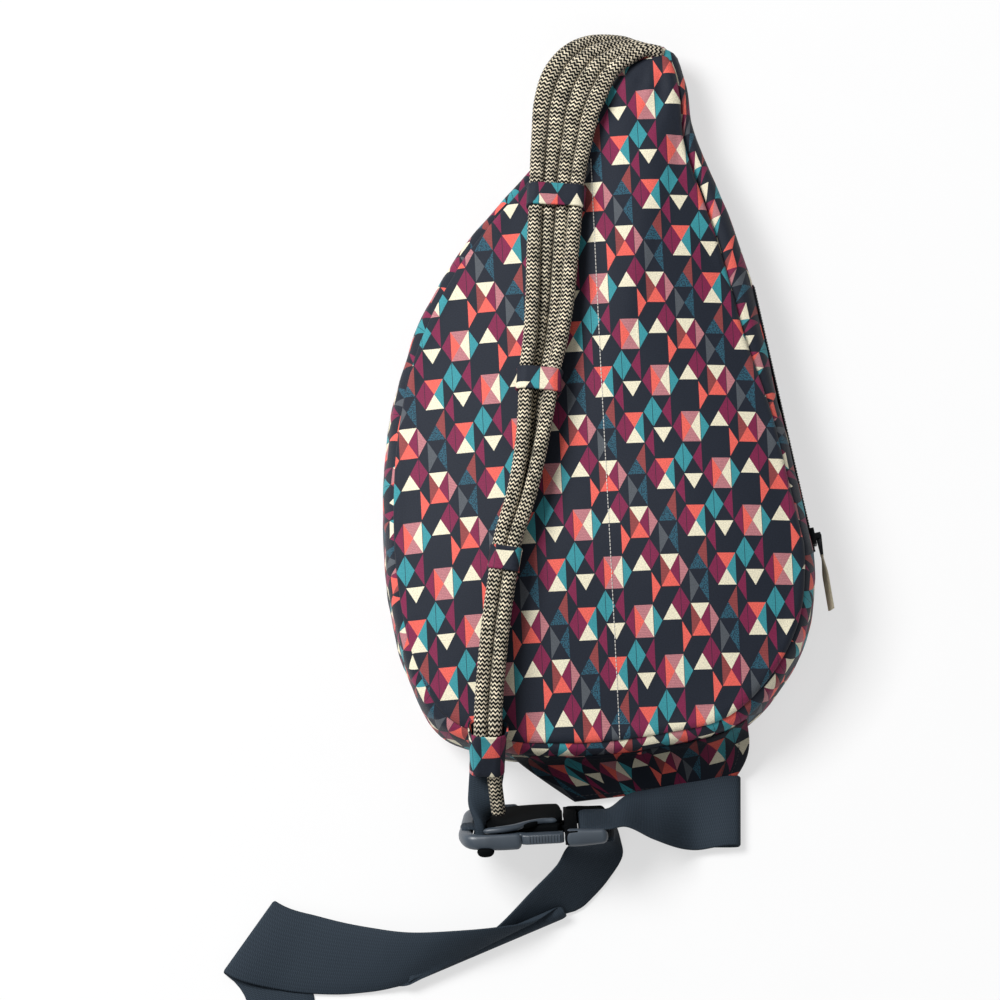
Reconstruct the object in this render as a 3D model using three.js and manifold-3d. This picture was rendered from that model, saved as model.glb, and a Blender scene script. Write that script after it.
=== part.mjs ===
// Rope sling bag, a teardrop back bag with a rope shoulder strap, lying on its front with the padded
// back panel up. Millimetres, +X to the right of the panel, +Y towards the top of the bag, +Z up.
// The group's origin is at the bottom centre of the bag, without its strap and buckle.
import * as THREE from 'three';
import { mergeVertices } from 'three/addons/utils/BufferGeometryUtils.js';
import Module from 'manifold-3d';

const wasm = await Module();
wasm.setup();

// Bag body
const bagLength = 505;
const bagWidth = 300;
const topSeamHeight = 36;
const shoulderSeamHeight = 56;
const bellySeamHeight = 68;
const bottomSeamHeight = 56;
const gussetWall = 2.5;
const seamLip = 9;
const panelInset = 7;
const shoulderGusset = 13;
const gussetWallTop = 48;
const gussetWallBottom = 18;
const panelCrown = 24;
const panelPadding = 10;
const panelEdge = 3;
const frontThickness = 5;
const frontInset = 20;
const frontRounding = 2;
const gussetShoulder = 0.35;
const gussetFoot = 0.3;
const sewnGap = 0.3;

// Bottom wing
const wingThickness = 3;
const wingTipHeight = 3.6;
const wingSeamHeight = 44;

// Side zip
const zipHeight = 33;
const zipEndMargin = 4;
const chainWidth = 6;
const chainThickness = 2.4;
const toothPitch = 4;
const toothDepth = 0.8;
const tapeWidth = 8;
const tapeThickness = 0.9;
const sliderLength = 12;
const sliderWall = 1.4;
const pinRadius = 1;
const pinSides = 12;
const postWall = 0.6;
const pinClearance = 0.2;
const eyeWall = 0.8;
const pullLength = 15;
const pullWidth = 4.6;
const pullThickness = 2;
const pullLeanDegrees = 3;
const ribbonLength = 38;
const ribbonWidth = 8;
const ribbonThickness = 1.6;

// Rope strap
const ropeDiameter = 9.4;
const ropeGap = 0.4;
const ropeSides = 10;
const loopSides = 16;
const keeperLength = 17;
const keeperWall = 1.3;
const keeperClearance = 0.5;
const sleeveLength = 33;
const sleeveClearance = 2;

// Strap end tab
const tabWidth = 21;
const tabThickness = 7;
const tabLoopWidth = 16;
const tabLoopWall = 2;
const tabLoopPlace = 12;
const tabSides = 12;
const tabTwistSteps = 6;
const tabNeck = 14;
const tabNeckThickness = 3.5;
const tabLead = 3;

// Side-release buckle
const buckleWidth = 62;
const buckleThickness = 12;
const socketLength = 24;
const strapSlot = 9.5;
const strapBar = 5;
const strapBarThickness = 6;
const tongueLength = 26;
const tongueWidth = 30;
const prongLength = 31;
const prongWidth = 8.5;
const prongThickness = 7;
const noseLength = 14;
const noseWidth = 5;
const squeezeRoom = 5;
const plugBase = 9;
const plugBaseThickness = 10;
const guideLength = 21;
const guideWidth = 16;
const guideThickness = 4.4;
const ladderSlot = 5;
const ladderBar = 4;
const ladderThickness = 4;
const buckleRail = 4.5;
const mouldGap = 0.4;
const mouldWeld = 0.5;
const pocketRoom = 2;
const cutPast = 1;
const prongShoulder = 4;
const prongEase = 3;
const noseEase = 2;
const buckleTurnDegrees = 3;
const buckleTiltDegrees = 118;
const buckleFloorGap = 0.5;

// Webbing
const webWidth = 50;
const webThickness = 1.8;
const webGap = 0.6;
const webFloorGap = 0.4;
const ladderLead = 4;
const ladderExit = 6;
const barRounding = 0.7;

const material = (color, roughness, metalness = 0) =>
  new THREE.MeshStandardMaterial({ color, roughness, metalness });
const printedFabric = 0x3c3440;
const finishes = {
  panel: material(printedFabric, 0.85),
  trim: material(0x343038, 0.85),
  tape: material(0x22242a, 0.9),
  zip: material(0x2b2d31, 0.5),
  pull: material(0x25272b, 0.45),
  ribbon: material(0xe6dcc0, 0.85),
  rope: material(0x8a7c60, 0.95),
  webbing: material(0x2b3038, 0.85),
  plastic: material(0x1f2226, 0.45),
};

// Meshing helpers

function solidGeometry(points, triangles) {
  const geometry = new THREE.BufferGeometry();
  geometry.setAttribute('position', new THREE.Float32BufferAttribute(points.flatMap((p) => [p.x, p.y, p.z]), 3));
  const volume = triangles.reduce((sum, [a, b, c]) =>
    sum + points[a].dot(new THREE.Vector3().crossVectors(points[b], points[c])), 0);
  const outward = volume > 0 ? triangles : triangles.map(([a, b, c]) => [a, c, b]);
  geometry.setIndex(outward.flat());
  geometry.computeVertexNormals();
  return geometry;
}

// A skin over equal loops of points: capped by fans at both ends, or joined end to start.
function loft(loops, joined = false) {
  const count = loops[0].length;
  const points = loops.flat();
  const triangles = [];
  const spans = joined ? loops.length : loops.length - 1;
  for (let i = 0; i < spans; i += 1) {
    const a = i * count;
    const b = ((i + 1) % loops.length) * count;
    for (let j = 0; j < count; j += 1) {
      const k = (j + 1) % count;
      triangles.push([a + j, b + j, b + k], [a + j, b + k, a + k]);
    }
  }
  if (!joined) {
    [0, loops.length - 1].forEach((end) => {
      const hub = points.length;
      const centre = loops[end].reduce((sum, p) => sum.add(p), new THREE.Vector3()).divideScalar(count);
      points.push(centre);
      for (let j = 0; j < count; j += 1) {
        const k = (j + 1) % count;
        const [p, q] = [end * count + j, end * count + k];
        triangles.push(end === 0 ? [hub, p, q] : [hub, q, p]);
      }
    });
  }
  return solidGeometry(points, triangles);
}

// A sheet with thickness: two grids of points, one above the other, with a rim round their edges.
function slab(lower, upper) {
  const [rows, columns] = [lower.length, lower[0].length];
  const points = [...lower.flat(), ...upper.flat()];
  const triangles = [];
  const quad = (a, b, c, d) => triangles.push([a, b, c], [a, c, d]);
  const under = (i, j) => i * columns + j;
  const over = (i, j) => rows * columns + under(i, j);
  for (let i = 0; i + 1 < rows; i += 1) {
    for (let j = 0; j + 1 < columns; j += 1) {
      quad(under(i, j), under(i, j + 1), under(i + 1, j + 1), under(i + 1, j));
      quad(over(i, j), over(i + 1, j), over(i + 1, j + 1), over(i, j + 1));
    }
    quad(under(i, 0), under(i + 1, 0), over(i + 1, 0), over(i, 0));
    quad(under(i + 1, columns - 1), under(i, columns - 1), over(i, columns - 1), over(i + 1, columns - 1));
  }
  for (let j = 0; j + 1 < columns; j += 1) {
    quad(under(0, j + 1), under(0, j), over(0, j), over(0, j + 1));
    quad(under(rows - 1, j), under(rows - 1, j + 1), over(rows - 1, j + 1), over(rows - 1, j));
  }
  return solidGeometry(points, triangles);
}

function plate(outline, bottom, top) {
  const shape = new THREE.Shape(outline.map(([x, y]) => new THREE.Vector2(x, y)));
  return new THREE.ExtrudeGeometry(shape, { depth: top - bottom, bevelEnabled: false }).translate(0, 0, bottom);
}

function block([x0, x1], [y0, y1], [z0, z1]) {
  return plate([[x0, y0], [x1, y0], [x1, y1], [x0, y1]], z0, z1);
}

function toManifold(geometry) {
  const bare = geometry.clone();
  ['normal', 'uv'].forEach((name) => bare.deleteAttribute(name));
  const merged = mergeVertices(bare, 1e-4);
  const vertProperties = Float32Array.from(merged.getAttribute('position').array);
  const triVerts = Uint32Array.from(merged.getIndex().array);
  return new wasm.Manifold(new wasm.Mesh({ numProp: 3, vertProperties, triVerts }));
}

function combine(added, removed = []) {
  const whole = added.map(toManifold).reduce((sum, part) => sum.add(part));
  const cut = removed.map(toManifold).reduce((rest, part) => rest.subtract(part), whole);
  const { vertProperties, triVerts } = cut.getMesh();
  const geometry = new THREE.BufferGeometry();
  geometry.setAttribute('position', new THREE.BufferAttribute(vertProperties, 3));
  geometry.setIndex(new THREE.BufferAttribute(triVerts, 1));
  geometry.computeVertexNormals();
  return geometry;
}

const bag = new THREE.Group();
const strap = new THREE.Group();
const model = new THREE.Group();
model.add(bag, strap);

function addMesh(parent, name, geometry, finish) {
  const mesh = new THREE.Mesh(geometry, finish);
  mesh.name = name;
  parent.add(mesh);
  return mesh;
}

function eased(value, from, to) {
  return THREE.MathUtils.smoothstep(value, from, to);
}

// Bag body: a teardrop outline, straight along the zip, whose rings shrink towards one hub

const zipTopShare = [0.357, 0.177];
const zipBottomShare = [0.503, -0.212];
const outlineShares = [
  zipBottomShare, [0.504, -0.245], [0.486, -0.325], [0.42, -0.4], [0.322, -0.457], [0.146, -0.486],
  [-0.089, -0.499], [-0.254, -0.49], [-0.371, -0.457], [-0.441, -0.384], [-0.488, -0.269], [-0.5, -0.149],
  [-0.484, -0.028], [-0.434, 0.089], [-0.336, 0.203], [-0.164, 0.33], [0.016, 0.455], [0.092, 0.497],
  [0.153, 0.497], [0.197, 0.46], [0.22, 0.404], [0.27, 0.322], [0.318, 0.246], zipTopShare,
];
const outlineSteps = 76;
const straightSteps = 8;
const hubShare = -0.12;
const hub = new THREE.Vector2(0, hubShare * bagLength);

const inBag = ([x, y]) => new THREE.Vector2(x * bagWidth, y * bagLength);
const zipTop = inBag(zipTopShare);
const zipBottom = inBag(zipBottomShare);
const roundOutline = new THREE.SplineCurve(outlineShares.map(inBag)).getSpacedPoints(outlineSteps);
const straightOutline = Array.from({ length: straightSteps - 1 }, (_, i) =>
  zipTop.clone().lerp(zipBottom, (i + 1) / straightSteps));
const outline = [...roundOutline, ...straightOutline];

function seamHeight(y) {
  const stops = [
    [-0.5, bottomSeamHeight], [-0.2, bellySeamHeight], [0.2, shoulderSeamHeight], [0.5, topSeamHeight],
  ].map(([share, height]) => [share * bagLength, height]);
  const last = stops.length - 1;
  if (y <= stops[0][0]) return stops[0][1];
  if (y >= stops[last][0]) return stops[last][1];
  const i = stops.findIndex(([stop]) => stop > y) - 1;
  const [[y0, h0], [y1, h1]] = [stops[i], stops[i + 1]];
  return THREE.MathUtils.lerp(h0, h1, eased(y, y0, y1));
}

// The gusset shows widest beside the right shoulder, where the back panel's seam stands further in.
const shoulderRight = [0.05, 0.2];
const shoulderLow = [-0.05, 0.2];
const shoulderHigh = [0.42, 0.5];

function seamInset(p) {
  const [right, low, high] = [
    [p.x / bagWidth, shoulderRight], [p.y / bagLength, shoulderLow], [p.y / bagLength, shoulderHigh],
  ].map(([share, [from, to]]) => eased(share, from, to));
  return panelInset + shoulderGusset * right * low * (1 - high);
}

function drawnIn(p, inset) {
  const away = p.clone().sub(hub);
  return hub.clone().addScaledVector(away, 1 - inset / away.length());
}

const raised = (p, z) => new THREE.Vector3(p.x, p.y, z);

const seamOutline = outline.map((p) => drawnIn(p, seamInset(p)));

function seamShare(x, y) {
  const away = new THREE.Vector2(x, y).sub(hub);
  for (let i = 0; i < seamOutline.length; i += 1) {
    const a = seamOutline[i].clone().sub(hub);
    const edge = seamOutline[(i + 1) % seamOutline.length].clone().sub(hub).sub(a);
    const span = away.cross(edge);
    const along = a.cross(away) / span;
    const reach = a.cross(edge) / span;
    if (along >= 0 && along < 1 && reach > 0) return 1 / reach;
  }
  return 0;
}

const crownPower = 2.4;
const panelRings = [0.03, 0.25, 0.5, 0.7, 0.85, 0.95, 1];
const crownRise = (share) => 1 - Math.min(share, 1) ** crownPower;

function panelTop(x, y) {
  return seamHeight(y) + sewnGap + panelEdge + panelCrown * crownRise(seamShare(x, y));
}

function buildBackPanel() {
  const ringAt = (share, lift) => seamOutline.map((p) => {
    const q = hub.clone().lerp(p, share);
    return raised(q, seamHeight(q.y) + sewnGap + lift);
  });
  const underCrown = panelCrown - (panelPadding - panelEdge);
  const under = panelRings.map((share) => ringAt(share, underCrown * crownRise(share)));
  const over = panelRings.map((share) => ringAt(share, panelEdge + panelCrown * crownRise(share)));
  addMesh(bag, 'back_panel', loft([...under, ...over.reverse()]), finishes.panel);
}

function buildGusset() {
  const sections = outline.map((p) => {
    const top = seamHeight(p.y);
    const wallTop = Math.min(gussetWallTop, top - 2 * gussetWall);
    const wallBottom = Math.min(gussetWallBottom, wallTop - gussetWall);
    const bottom = frontThickness + sewnGap;
    const inset = seamInset(p);
    const foot = [gussetFoot * frontInset, THREE.MathUtils.lerp(bottom, wallBottom, gussetFoot)];
    const profile = [
      [inset, top], [gussetShoulder * inset, THREE.MathUtils.lerp(top, wallTop, gussetShoulder)],
      [0, wallTop], [0, wallBottom], foot, [frontInset, bottom],
      [frontInset + seamLip, bottom], [frontInset + seamLip, bottom + gussetWall],
      foot.map((value) => value + gussetWall),
      [gussetWall, wallBottom], [gussetWall, wallTop - gussetWall],
      [inset + seamLip, top - gussetWall], [inset + seamLip, top],
    ];
    return profile.map(([inward, z]) => raised(drawnIn(p, inward), z));
  });
  addMesh(bag, 'side_gusset', loft(sections, true), finishes.panel);
}

function buildFrontPanel() {
  const rings = [
    [frontInset + 2 * frontRounding, 0], [frontInset, frontRounding],
    [frontInset, frontThickness - frontRounding], [frontInset + frontRounding, frontThickness],
  ].map(([inset, z]) => outline.map((p) => raised(drawnIn(p, inset), z)));
  addMesh(bag, 'front_panel', loft(rings), finishes.panel);
}

// Bottom wing: a flap from the gusset's lower wall down to the floor, its tip lying on the webbing

const wingLeftShare = -0.2;
const wingRightShare = 0.345;
const wingTipLeftShare = [-0.0533, -0.5465];
const wingTipRightShare = [0.31, -0.5208];
const wingRows = 6;
const wingDroop = 0.55;

function wingRoots() {
  const [left, right] = [wingLeftShare * bagWidth, wingRightShare * bagWidth];
  const lower = outline.filter((p) => p.y < hub.y && p.x > left && p.x < right);
  return lower.sort((a, b) => a.x - b.x).map((p) => new THREE.Vector2(p.x, p.y - sewnGap));
}

function wingRow(row) {
  const roots = wingRoots();
  const [first, last] = [roots[0].x, roots[roots.length - 1].x];
  const [tipLeft, tipRight] = [wingTipLeftShare, wingTipRightShare].map(inBag);
  const height = THREE.MathUtils.lerp(wingSeamHeight, wingTipHeight, row ** wingDroop);
  return roots.map((root) => {
    const tip = tipLeft.clone().lerp(tipRight, (root.x - first) / (last - first));
    return raised(root.clone().lerp(tip, row), height);
  });
}

function buildWing() {
  const lower = Array.from({ length: wingRows + 1 }, (_, i) => wingRow(i / wingRows));
  const upper = lower.map((row) => row.map((p) => p.clone().setZ(p.z + wingThickness)));
  addMesh(bag, 'bottom_wing', slab(lower, upper), finishes.panel);
}

// Side zip on the straight stretch of the gusset: local x towards the bag's top, y up, z outwards

function zipSide() {
  const side = new THREE.Group();
  const along = zipTop.clone().sub(zipBottom);
  const middle = zipTop.clone().add(zipBottom).multiplyScalar(0.5);
  const forward = raised(along.clone().normalize(), 0);
  const up = new THREE.Vector3(0, 0, 1);
  const outward = new THREE.Vector3().crossVectors(forward, up);
  side.setRotationFromMatrix(new THREE.Matrix4().makeBasis(forward, up, outward));
  side.position.set(middle.x, middle.y, zipHeight);
  bag.add(side);
  return { side, chainLength: along.length() - 2 * zipEndMargin };
}

function buildZip() {
  const { side, chainLength } = zipSide();
  const half = chainLength / 2;
  const chainHalf = chainWidth / 2;
  const tapeTop = sewnGap + tapeThickness;
  const chainTop = sewnGap + chainThickness;
  const tapeRange = [chainHalf + sewnGap, chainHalf + tapeWidth];
  addMesh(side, 'zip_tape_upper', block([-half, half], tapeRange, [sewnGap, tapeTop]), finishes.tape);
  addMesh(side, 'zip_tape_lower', block([-half, half], tapeRange.map((y) => -y).reverse(), [sewnGap, tapeTop]),
    finishes.tape);

  const teeth = Math.floor(chainLength / toothPitch);
  const comb = [[-half, 0], [half, 0]];
  for (let i = 0; i < teeth; i += 1) {
    const x = half - (i * chainLength) / teeth;
    const step = chainLength / teeth;
    comb.push([x, chainThickness], [x - 0.5 * step, chainThickness]);
    comb.push([x - 0.5 * step, chainThickness - toothDepth], [x - step, chainThickness - toothDepth]);
  }
  const chain = plate(comb, -chainHalf, chainHalf).rotateX(Math.PI / 2).translate(0, 0, sewnGap);
  addMesh(side, 'zip_chain', chain, finishes.zip);

  const sliderAt = -half + sliderLength / 2 + zipEndMargin;
  const roof = chainTop + sewnGap;
  const flange = [chainHalf + sewnGap, chainHalf + sewnGap + sliderWall];
  const lengthRange = [-sliderLength / 2, sliderLength / 2];
  const eyeRadius = pinRadius + pinClearance;
  const eyeReach = eyeRadius + eyeWall;
  const pinHeight = roof + sliderWall + eyeReach + 2 * pinClearance;
  const postRange = [pullWidth / 2 + pinClearance, pullWidth / 2 + pinClearance + sliderWall];
  const postLength = [-2 * pinRadius, 2 * pinRadius];
  const postHeight = [roof, pinHeight + pinRadius + postWall];
  const mirrored = (range) => range.map((y) => -y).reverse();
  const pinSolid = new THREE.CylinderGeometry(pinRadius, pinRadius, 2 * postRange[0] + sliderWall, pinSides)
    .translate(0, 0, pinHeight);
  const body = combine([
    block(lengthRange, [-flange[1], flange[1]], [roof, roof + sliderWall]),
    block(lengthRange, flange, [tapeTop + sewnGap, roof + sliderWall]),
    block(lengthRange, mirrored(flange), [tapeTop + sewnGap, roof + sliderWall]),
    block(postLength, postRange, postHeight),
    block(postLength, mirrored(postRange), postHeight),
    pinSolid,
  ]);
  addMesh(side, 'zip_slider', body.translate(sliderAt, 0, 0), finishes.zip);

  const pivot = new THREE.Group();
  pivot.position.set(sliderAt, 0, pinHeight);
  pivot.rotation.y = THREE.MathUtils.degToRad(-pullLeanDegrees);
  side.add(pivot);
  const tab = new THREE.Shape().moveTo(0, -eyeReach).absarc(0, 0, eyeReach, -Math.PI / 2, Math.PI / 2)
    .lineTo(-pullLength, pullThickness / 2).lineTo(-pullLength, -pullThickness / 2);
  tab.holes.push(new THREE.Path().absarc(0, 0, eyeRadius, 0, 2 * Math.PI, true));
  const pull = new THREE.ExtrudeGeometry(tab, { depth: pullWidth, bevelEnabled: false, curveSegments: pinSides / 2 })
    .translate(0, 0, -pullWidth / 2).rotateX(Math.PI / 2);
  addMesh(pivot, 'zip_pull', pull, finishes.pull);
  const ribbonStart = -pullLength - sewnGap;
  addMesh(pivot, 'zip_ribbon', block([ribbonStart - ribbonLength, ribbonStart],
    [-ribbonWidth / 2, ribbonWidth / 2], [-ribbonThickness / 2, ribbonThickness / 2]), finishes.ribbon);
}

// Rope strap: each station holds x, y, z of the middle of the inner pair of ropes, how far the outer ropes
// have climbed onto the inner pair and how far the row of ropes is turned on edge, both in degrees, and how
// far apart the ropes lie as a share of their pitch, where it isn't 1

const ropeRoute = [
  [38, 257.6, 21, 0, 84], [27, 260.3, 26, 0, 70], [15, 257.4, 31, 0, 47], [3.5, 252.8, 37, 0, 28, 1.05],
  [-7, 243.8, 43.5, 0, 9, 1.14], [-15.8, 229, 50, 0, 2, 1.24], [-21.5, 211.5, 55, 2, 0, 1.2],
  [-25.2, 186, 60.5, 8, 0, 1.1], [-27.4, 168, 65.3, 13, 0, 1.04], [-28.8, 152, 69.4, 17, 0],
  [-30, 129, 75.4, 23, 0], [-31.9, 97, 81.5, 32, 0],
  [-34, 62, 85.9, 43, 0], [-37.2, 33, 89.8, 54, 0], [-40.3, 15, 92.4, 61, 0], [-42.5, -8, 95.4, 69, 0],
  [-46.5, -42, 99.2, 80, 0], [-53.5, -78, 100.7, 86, 0], [-63.4, -111, 99.5, 90, 0], [-66.8, -134, 96.8, 90, 0],
  [-71.3, -166, 90.6, 90, 0], [-74.4, -196, 82.4, 90, 0], [-76.3, -219, 76.4, 90, 0], [-77, -237, 73.2, 90, 0],
  [-77.1, -243, 69.4, 90, 0], [-77.5, -257.5, 56.6, 90, 0],
];
const looseEndLength = 16;
const keeperSpans = [9, 14, 18];
const sleeveSpan = ropeRoute.length - 2;
const ropePitch = ropeDiameter + ropeGap;

function routeFrame(index) {
  const at = (i) => new THREE.Vector3(...ropeRoute[Math.min(Math.max(i, 0), ropeRoute.length - 1)]);
  const forward = at(index + 1).sub(at(index - 1)).normalize();
  const [climb, turn] = ropeRoute[index].slice(3, 5).map(THREE.MathUtils.degToRad);
  const [, , , , , spread = 1] = ropeRoute[index];
  const flat = new THREE.Vector3(-forward.y, forward.x, 0).normalize();
  const lifted = new THREE.Vector3().crossVectors(flat, forward).negate();
  const across = flat.clone().multiplyScalar(Math.cos(turn)).addScaledVector(lifted, Math.sin(turn));
  const away = lifted.clone().multiplyScalar(Math.cos(turn)).addScaledVector(flat, -Math.sin(turn));
  return { centre: at(index), across, away, climb, spread };
}

// Sideways and upward place of each of the four ropes about the middle of the inner pair
function ropePlaces(climb, spread = 1) {
  const pitch = spread * ropePitch;
  const inner = pitch / 2;
  const outer = inner + pitch * Math.cos(climb);
  const height = pitch * Math.sin(climb);
  return [[-outer, height], [-inner, 0], [inner, 0], [outer, height]];
}

function circleLoop(centre, forward, across, radius, sides) {
  const third = new THREE.Vector3().crossVectors(forward, across).normalize();
  const level = new THREE.Vector3().crossVectors(third, forward).normalize();
  return Array.from({ length: sides }, (_, i) => {
    const angle = (2 * Math.PI * i) / sides;
    return centre.clone().addScaledVector(level, radius * Math.cos(angle))
      .addScaledVector(third, radius * Math.sin(angle));
  });
}

function buildRopes() {
  const frames = ropeRoute.map((_, i) => routeFrame(i));
  [0, 1, 2, 3].forEach((strand) => {
    const centres = frames.map(({ centre, across, away, climb, spread }) => {
      const [side, height] = ropePlaces(climb, spread)[strand];
      return centre.clone().addScaledVector(across, side).addScaledVector(away, height);
    });
    if (strand === 3) {
      const [before, end] = centres.slice(-2);
      const onward = end.clone().sub(before).normalize();
      centres.push(end.clone().addScaledVector(onward, looseEndLength));
    }
    const last = centres.length - 1;
    const loops = centres.map((centre, i) => {
      const forward = centres[Math.min(i + 1, last)].clone().sub(centres[Math.max(i - 1, 0)]).normalize();
      const { across } = frames[Math.min(i, frames.length - 1)];
      return circleLoop(centre, forward, across, ropeDiameter / 2, ropeSides);
    });
    addMesh(strap, `rope_strand_${strand + 1}`, loft(loops), finishes.rope);
  });
}

function convexHull(points) {
  const sorted = [...points].sort((a, b) => a[0] - b[0] || a[1] - b[1]);
  const turns = (o, a, b) => (a[0] - o[0]) * (b[1] - o[1]) - (a[1] - o[1]) * (b[0] - o[0]);
  const chain = (list) => list.reduce((hull, p) => {
    while (hull.length > 1 && turns(hull[hull.length - 2], hull[hull.length - 1], p) <= 1e-6) hull.pop();
    return [...hull, p];
  }, []);
  return [...chain(sorted).slice(0, -1), ...chain(sorted.reverse()).slice(0, -1)];
}

// A sewn loop round the four ropes, along one straight span of the route.
function fabricLoop(name, span, from, length, clearance) {
  const start = routeFrame(span);
  const axis = routeFrame(span + 1).centre.sub(start.centre).normalize();
  const across = new THREE.Vector3(-axis.y, axis.x, 0).normalize();
  const away = new THREE.Vector3().crossVectors(across, axis).negate();
  const climbs = [span, span + 1].map((i) => routeFrame(i).climb);
  const rounded = (radius) => convexHull(climbs.flatMap((climb) => ropePlaces(climb)).flatMap(([side, height]) =>
    Array.from({ length: loopSides }, (_, i) => {
      const angle = (2 * Math.PI * i) / loopSides;
      return [side + radius * Math.cos(angle), height + radius * Math.sin(angle)];
    })));
  const inner = ropeDiameter / 2 + clearance;
  const shape = new THREE.Shape(rounded(inner + keeperWall).map(([x, y]) => new THREE.Vector2(x, y)));
  shape.holes.push(new THREE.Path(rounded(inner).map(([x, y]) => new THREE.Vector2(x, y))));
  const geometry = new THREE.ExtrudeGeometry(shape, { depth: length, bevelEnabled: false });
  const basis = new THREE.Matrix4().makeBasis(across, away, new THREE.Vector3().crossVectors(across, away));
  const forwardIsDepth = new THREE.Vector3().crossVectors(across, away).dot(axis) > 0;
  const origin = start.centre.clone().addScaledVector(axis, forwardIsDepth ? from : from + length);
  addMesh(strap, name, geometry.applyMatrix4(basis.setPosition(origin)), finishes.trim);
}

function buildFabricLoops() {
  keeperSpans.forEach((span, i) => {
    const spanLength = routeFrame(span + 1).centre.distanceTo(routeFrame(span).centre);
    fabricLoop(`strap_keeper_${i + 1}`, span, (spanLength - keeperLength) / 2, keeperLength, keeperClearance);
  });
  fabricLoop('strap_end_sleeve', sleeveSpan, 0, sleeveLength, sleeveClearance);
}

// Side-release buckle: local x from the socket's mouth towards the plug, y along the bars, z off its face

const buckleX = -54.6;
const buckleY = -300.3;
const plugStart = prongLength;
const plugEnd = plugStart + plugBase;
const firstBar = plugEnd + ladderSlot;
const lastBar = firstBar + ladderBar + ladderSlot;
const ladderEnd = lastBar + ladderBar;
const socketEnd = -socketLength - strapSlot - strapBar;
const strapBarMiddle = socketEnd + strapBar / 2;
const halfWidth = buckleWidth / 2;
const insideWidth = halfWidth - buckleRail;

function buckleFrame() {
  const tilt = THREE.MathUtils.degToRad(buckleTiltDegrees);
  const turn = THREE.MathUtils.degToRad(buckleTurnDegrees);
  const lift = halfWidth * Math.sin(tilt) + (buckleThickness / 2) * Math.abs(Math.cos(tilt));
  const frame = new THREE.Group();
  frame.rotation.set(tilt, 0, turn, 'ZYX');
  frame.position.set(buckleX, buckleY, buckleFloorGap + lift);
  frame.updateMatrix();
  return frame;
}

const mirroredY = (geometry) => geometry.clone().applyMatrix4(new THREE.Matrix4().makeRotationX(Math.PI));
const both = (geometry) => [geometry, mirroredY(geometry)];
const centred = (size) => [-size / 2, size / 2];

function buildBuckle(frame) {
  const pocket = [halfWidth - buckleRail - noseWidth - squeezeRoom, halfWidth - buckleRail];
  const socket = combine([
    block([-socketLength, 0], centred(buckleWidth), centred(buckleThickness)),
    block([-mouldWeld, tongueLength], centred(tongueWidth), centred(buckleThickness)),
    ...both(block([socketEnd, mouldWeld - socketLength], [insideWidth, halfWidth], centred(strapBarThickness))),
    block([socketEnd, socketEnd + strapBar], centred(buckleWidth), centred(strapBarThickness)),
  ], [
    ...both(block([-noseLength - pocketRoom, cutPast], pocket, centred(prongThickness + 2 * mouldGap))),
    block([plugStart - guideLength - pocketRoom, tongueLength + cutPast], centred(guideWidth + 2 * mouldGap),
      centred(guideThickness + 2 * mouldGap)),
  ]);
  addMesh(frame, 'buckle_socket', socket, finishes.plastic);

  const ladderRange = [plugEnd - mouldWeld, ladderEnd];
  const barSpan = centred(2 * (insideWidth + mouldWeld));
  const plug = combine([
    block([plugStart, plugEnd], centred(buckleWidth), centred(plugBaseThickness)),
    block([plugStart - guideLength, plugStart + mouldWeld], centred(guideWidth), centred(guideThickness)),
    ...both(block(ladderRange, [insideWidth, halfWidth], centred(strapBarThickness))),
    block([firstBar, firstBar + ladderBar], barSpan, centred(ladderThickness)),
    block([lastBar, ladderEnd], barSpan, centred(ladderThickness)),
  ]);
  addMesh(frame, 'buckle_plug', plug, finishes.plastic);

  const outer = halfWidth;
  const inner = halfWidth - prongWidth;
  const noseOuter = halfWidth - buckleRail - mouldGap;
  const noseInner = noseOuter - noseWidth;
  const root = plugStart - 2 * mouldGap;
  const prong = plate([
    [root, inner], [root, outer - prongEase / 2], [root - prongEase, outer], [prongShoulder, outer],
    [mouldGap, outer - prongEase / 2], [mouldGap, noseOuter], [noseEase - noseLength, noseOuter],
    [-noseLength, noseOuter - noseEase], [-noseLength, noseInner], [mouldGap, noseInner], [prongShoulder, inner],
  ], -prongThickness / 2, prongThickness / 2);
  addMesh(frame, 'buckle_prong_upper', prong, finishes.plastic);
  addMesh(frame, 'buckle_prong_lower', mirroredY(prong), finishes.plastic);
}

// Strap end tab: a folded tape that twists from the sleeve to a loop round the socket's bar

function roundedLoop(centre, across, away, width, thickness) {
  return Array.from({ length: tabSides }, (_, i) => {
    const angle = (2 * Math.PI * (i + 0.5)) / tabSides;
    const squared = (value) => Math.sign(value) * Math.sqrt(Math.abs(value));
    return centre.clone().addScaledVector(across, (width / 2) * squared(Math.cos(angle)))
      .addScaledVector(away, (thickness / 2) * squared(Math.sin(angle)));
  });
}

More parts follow.
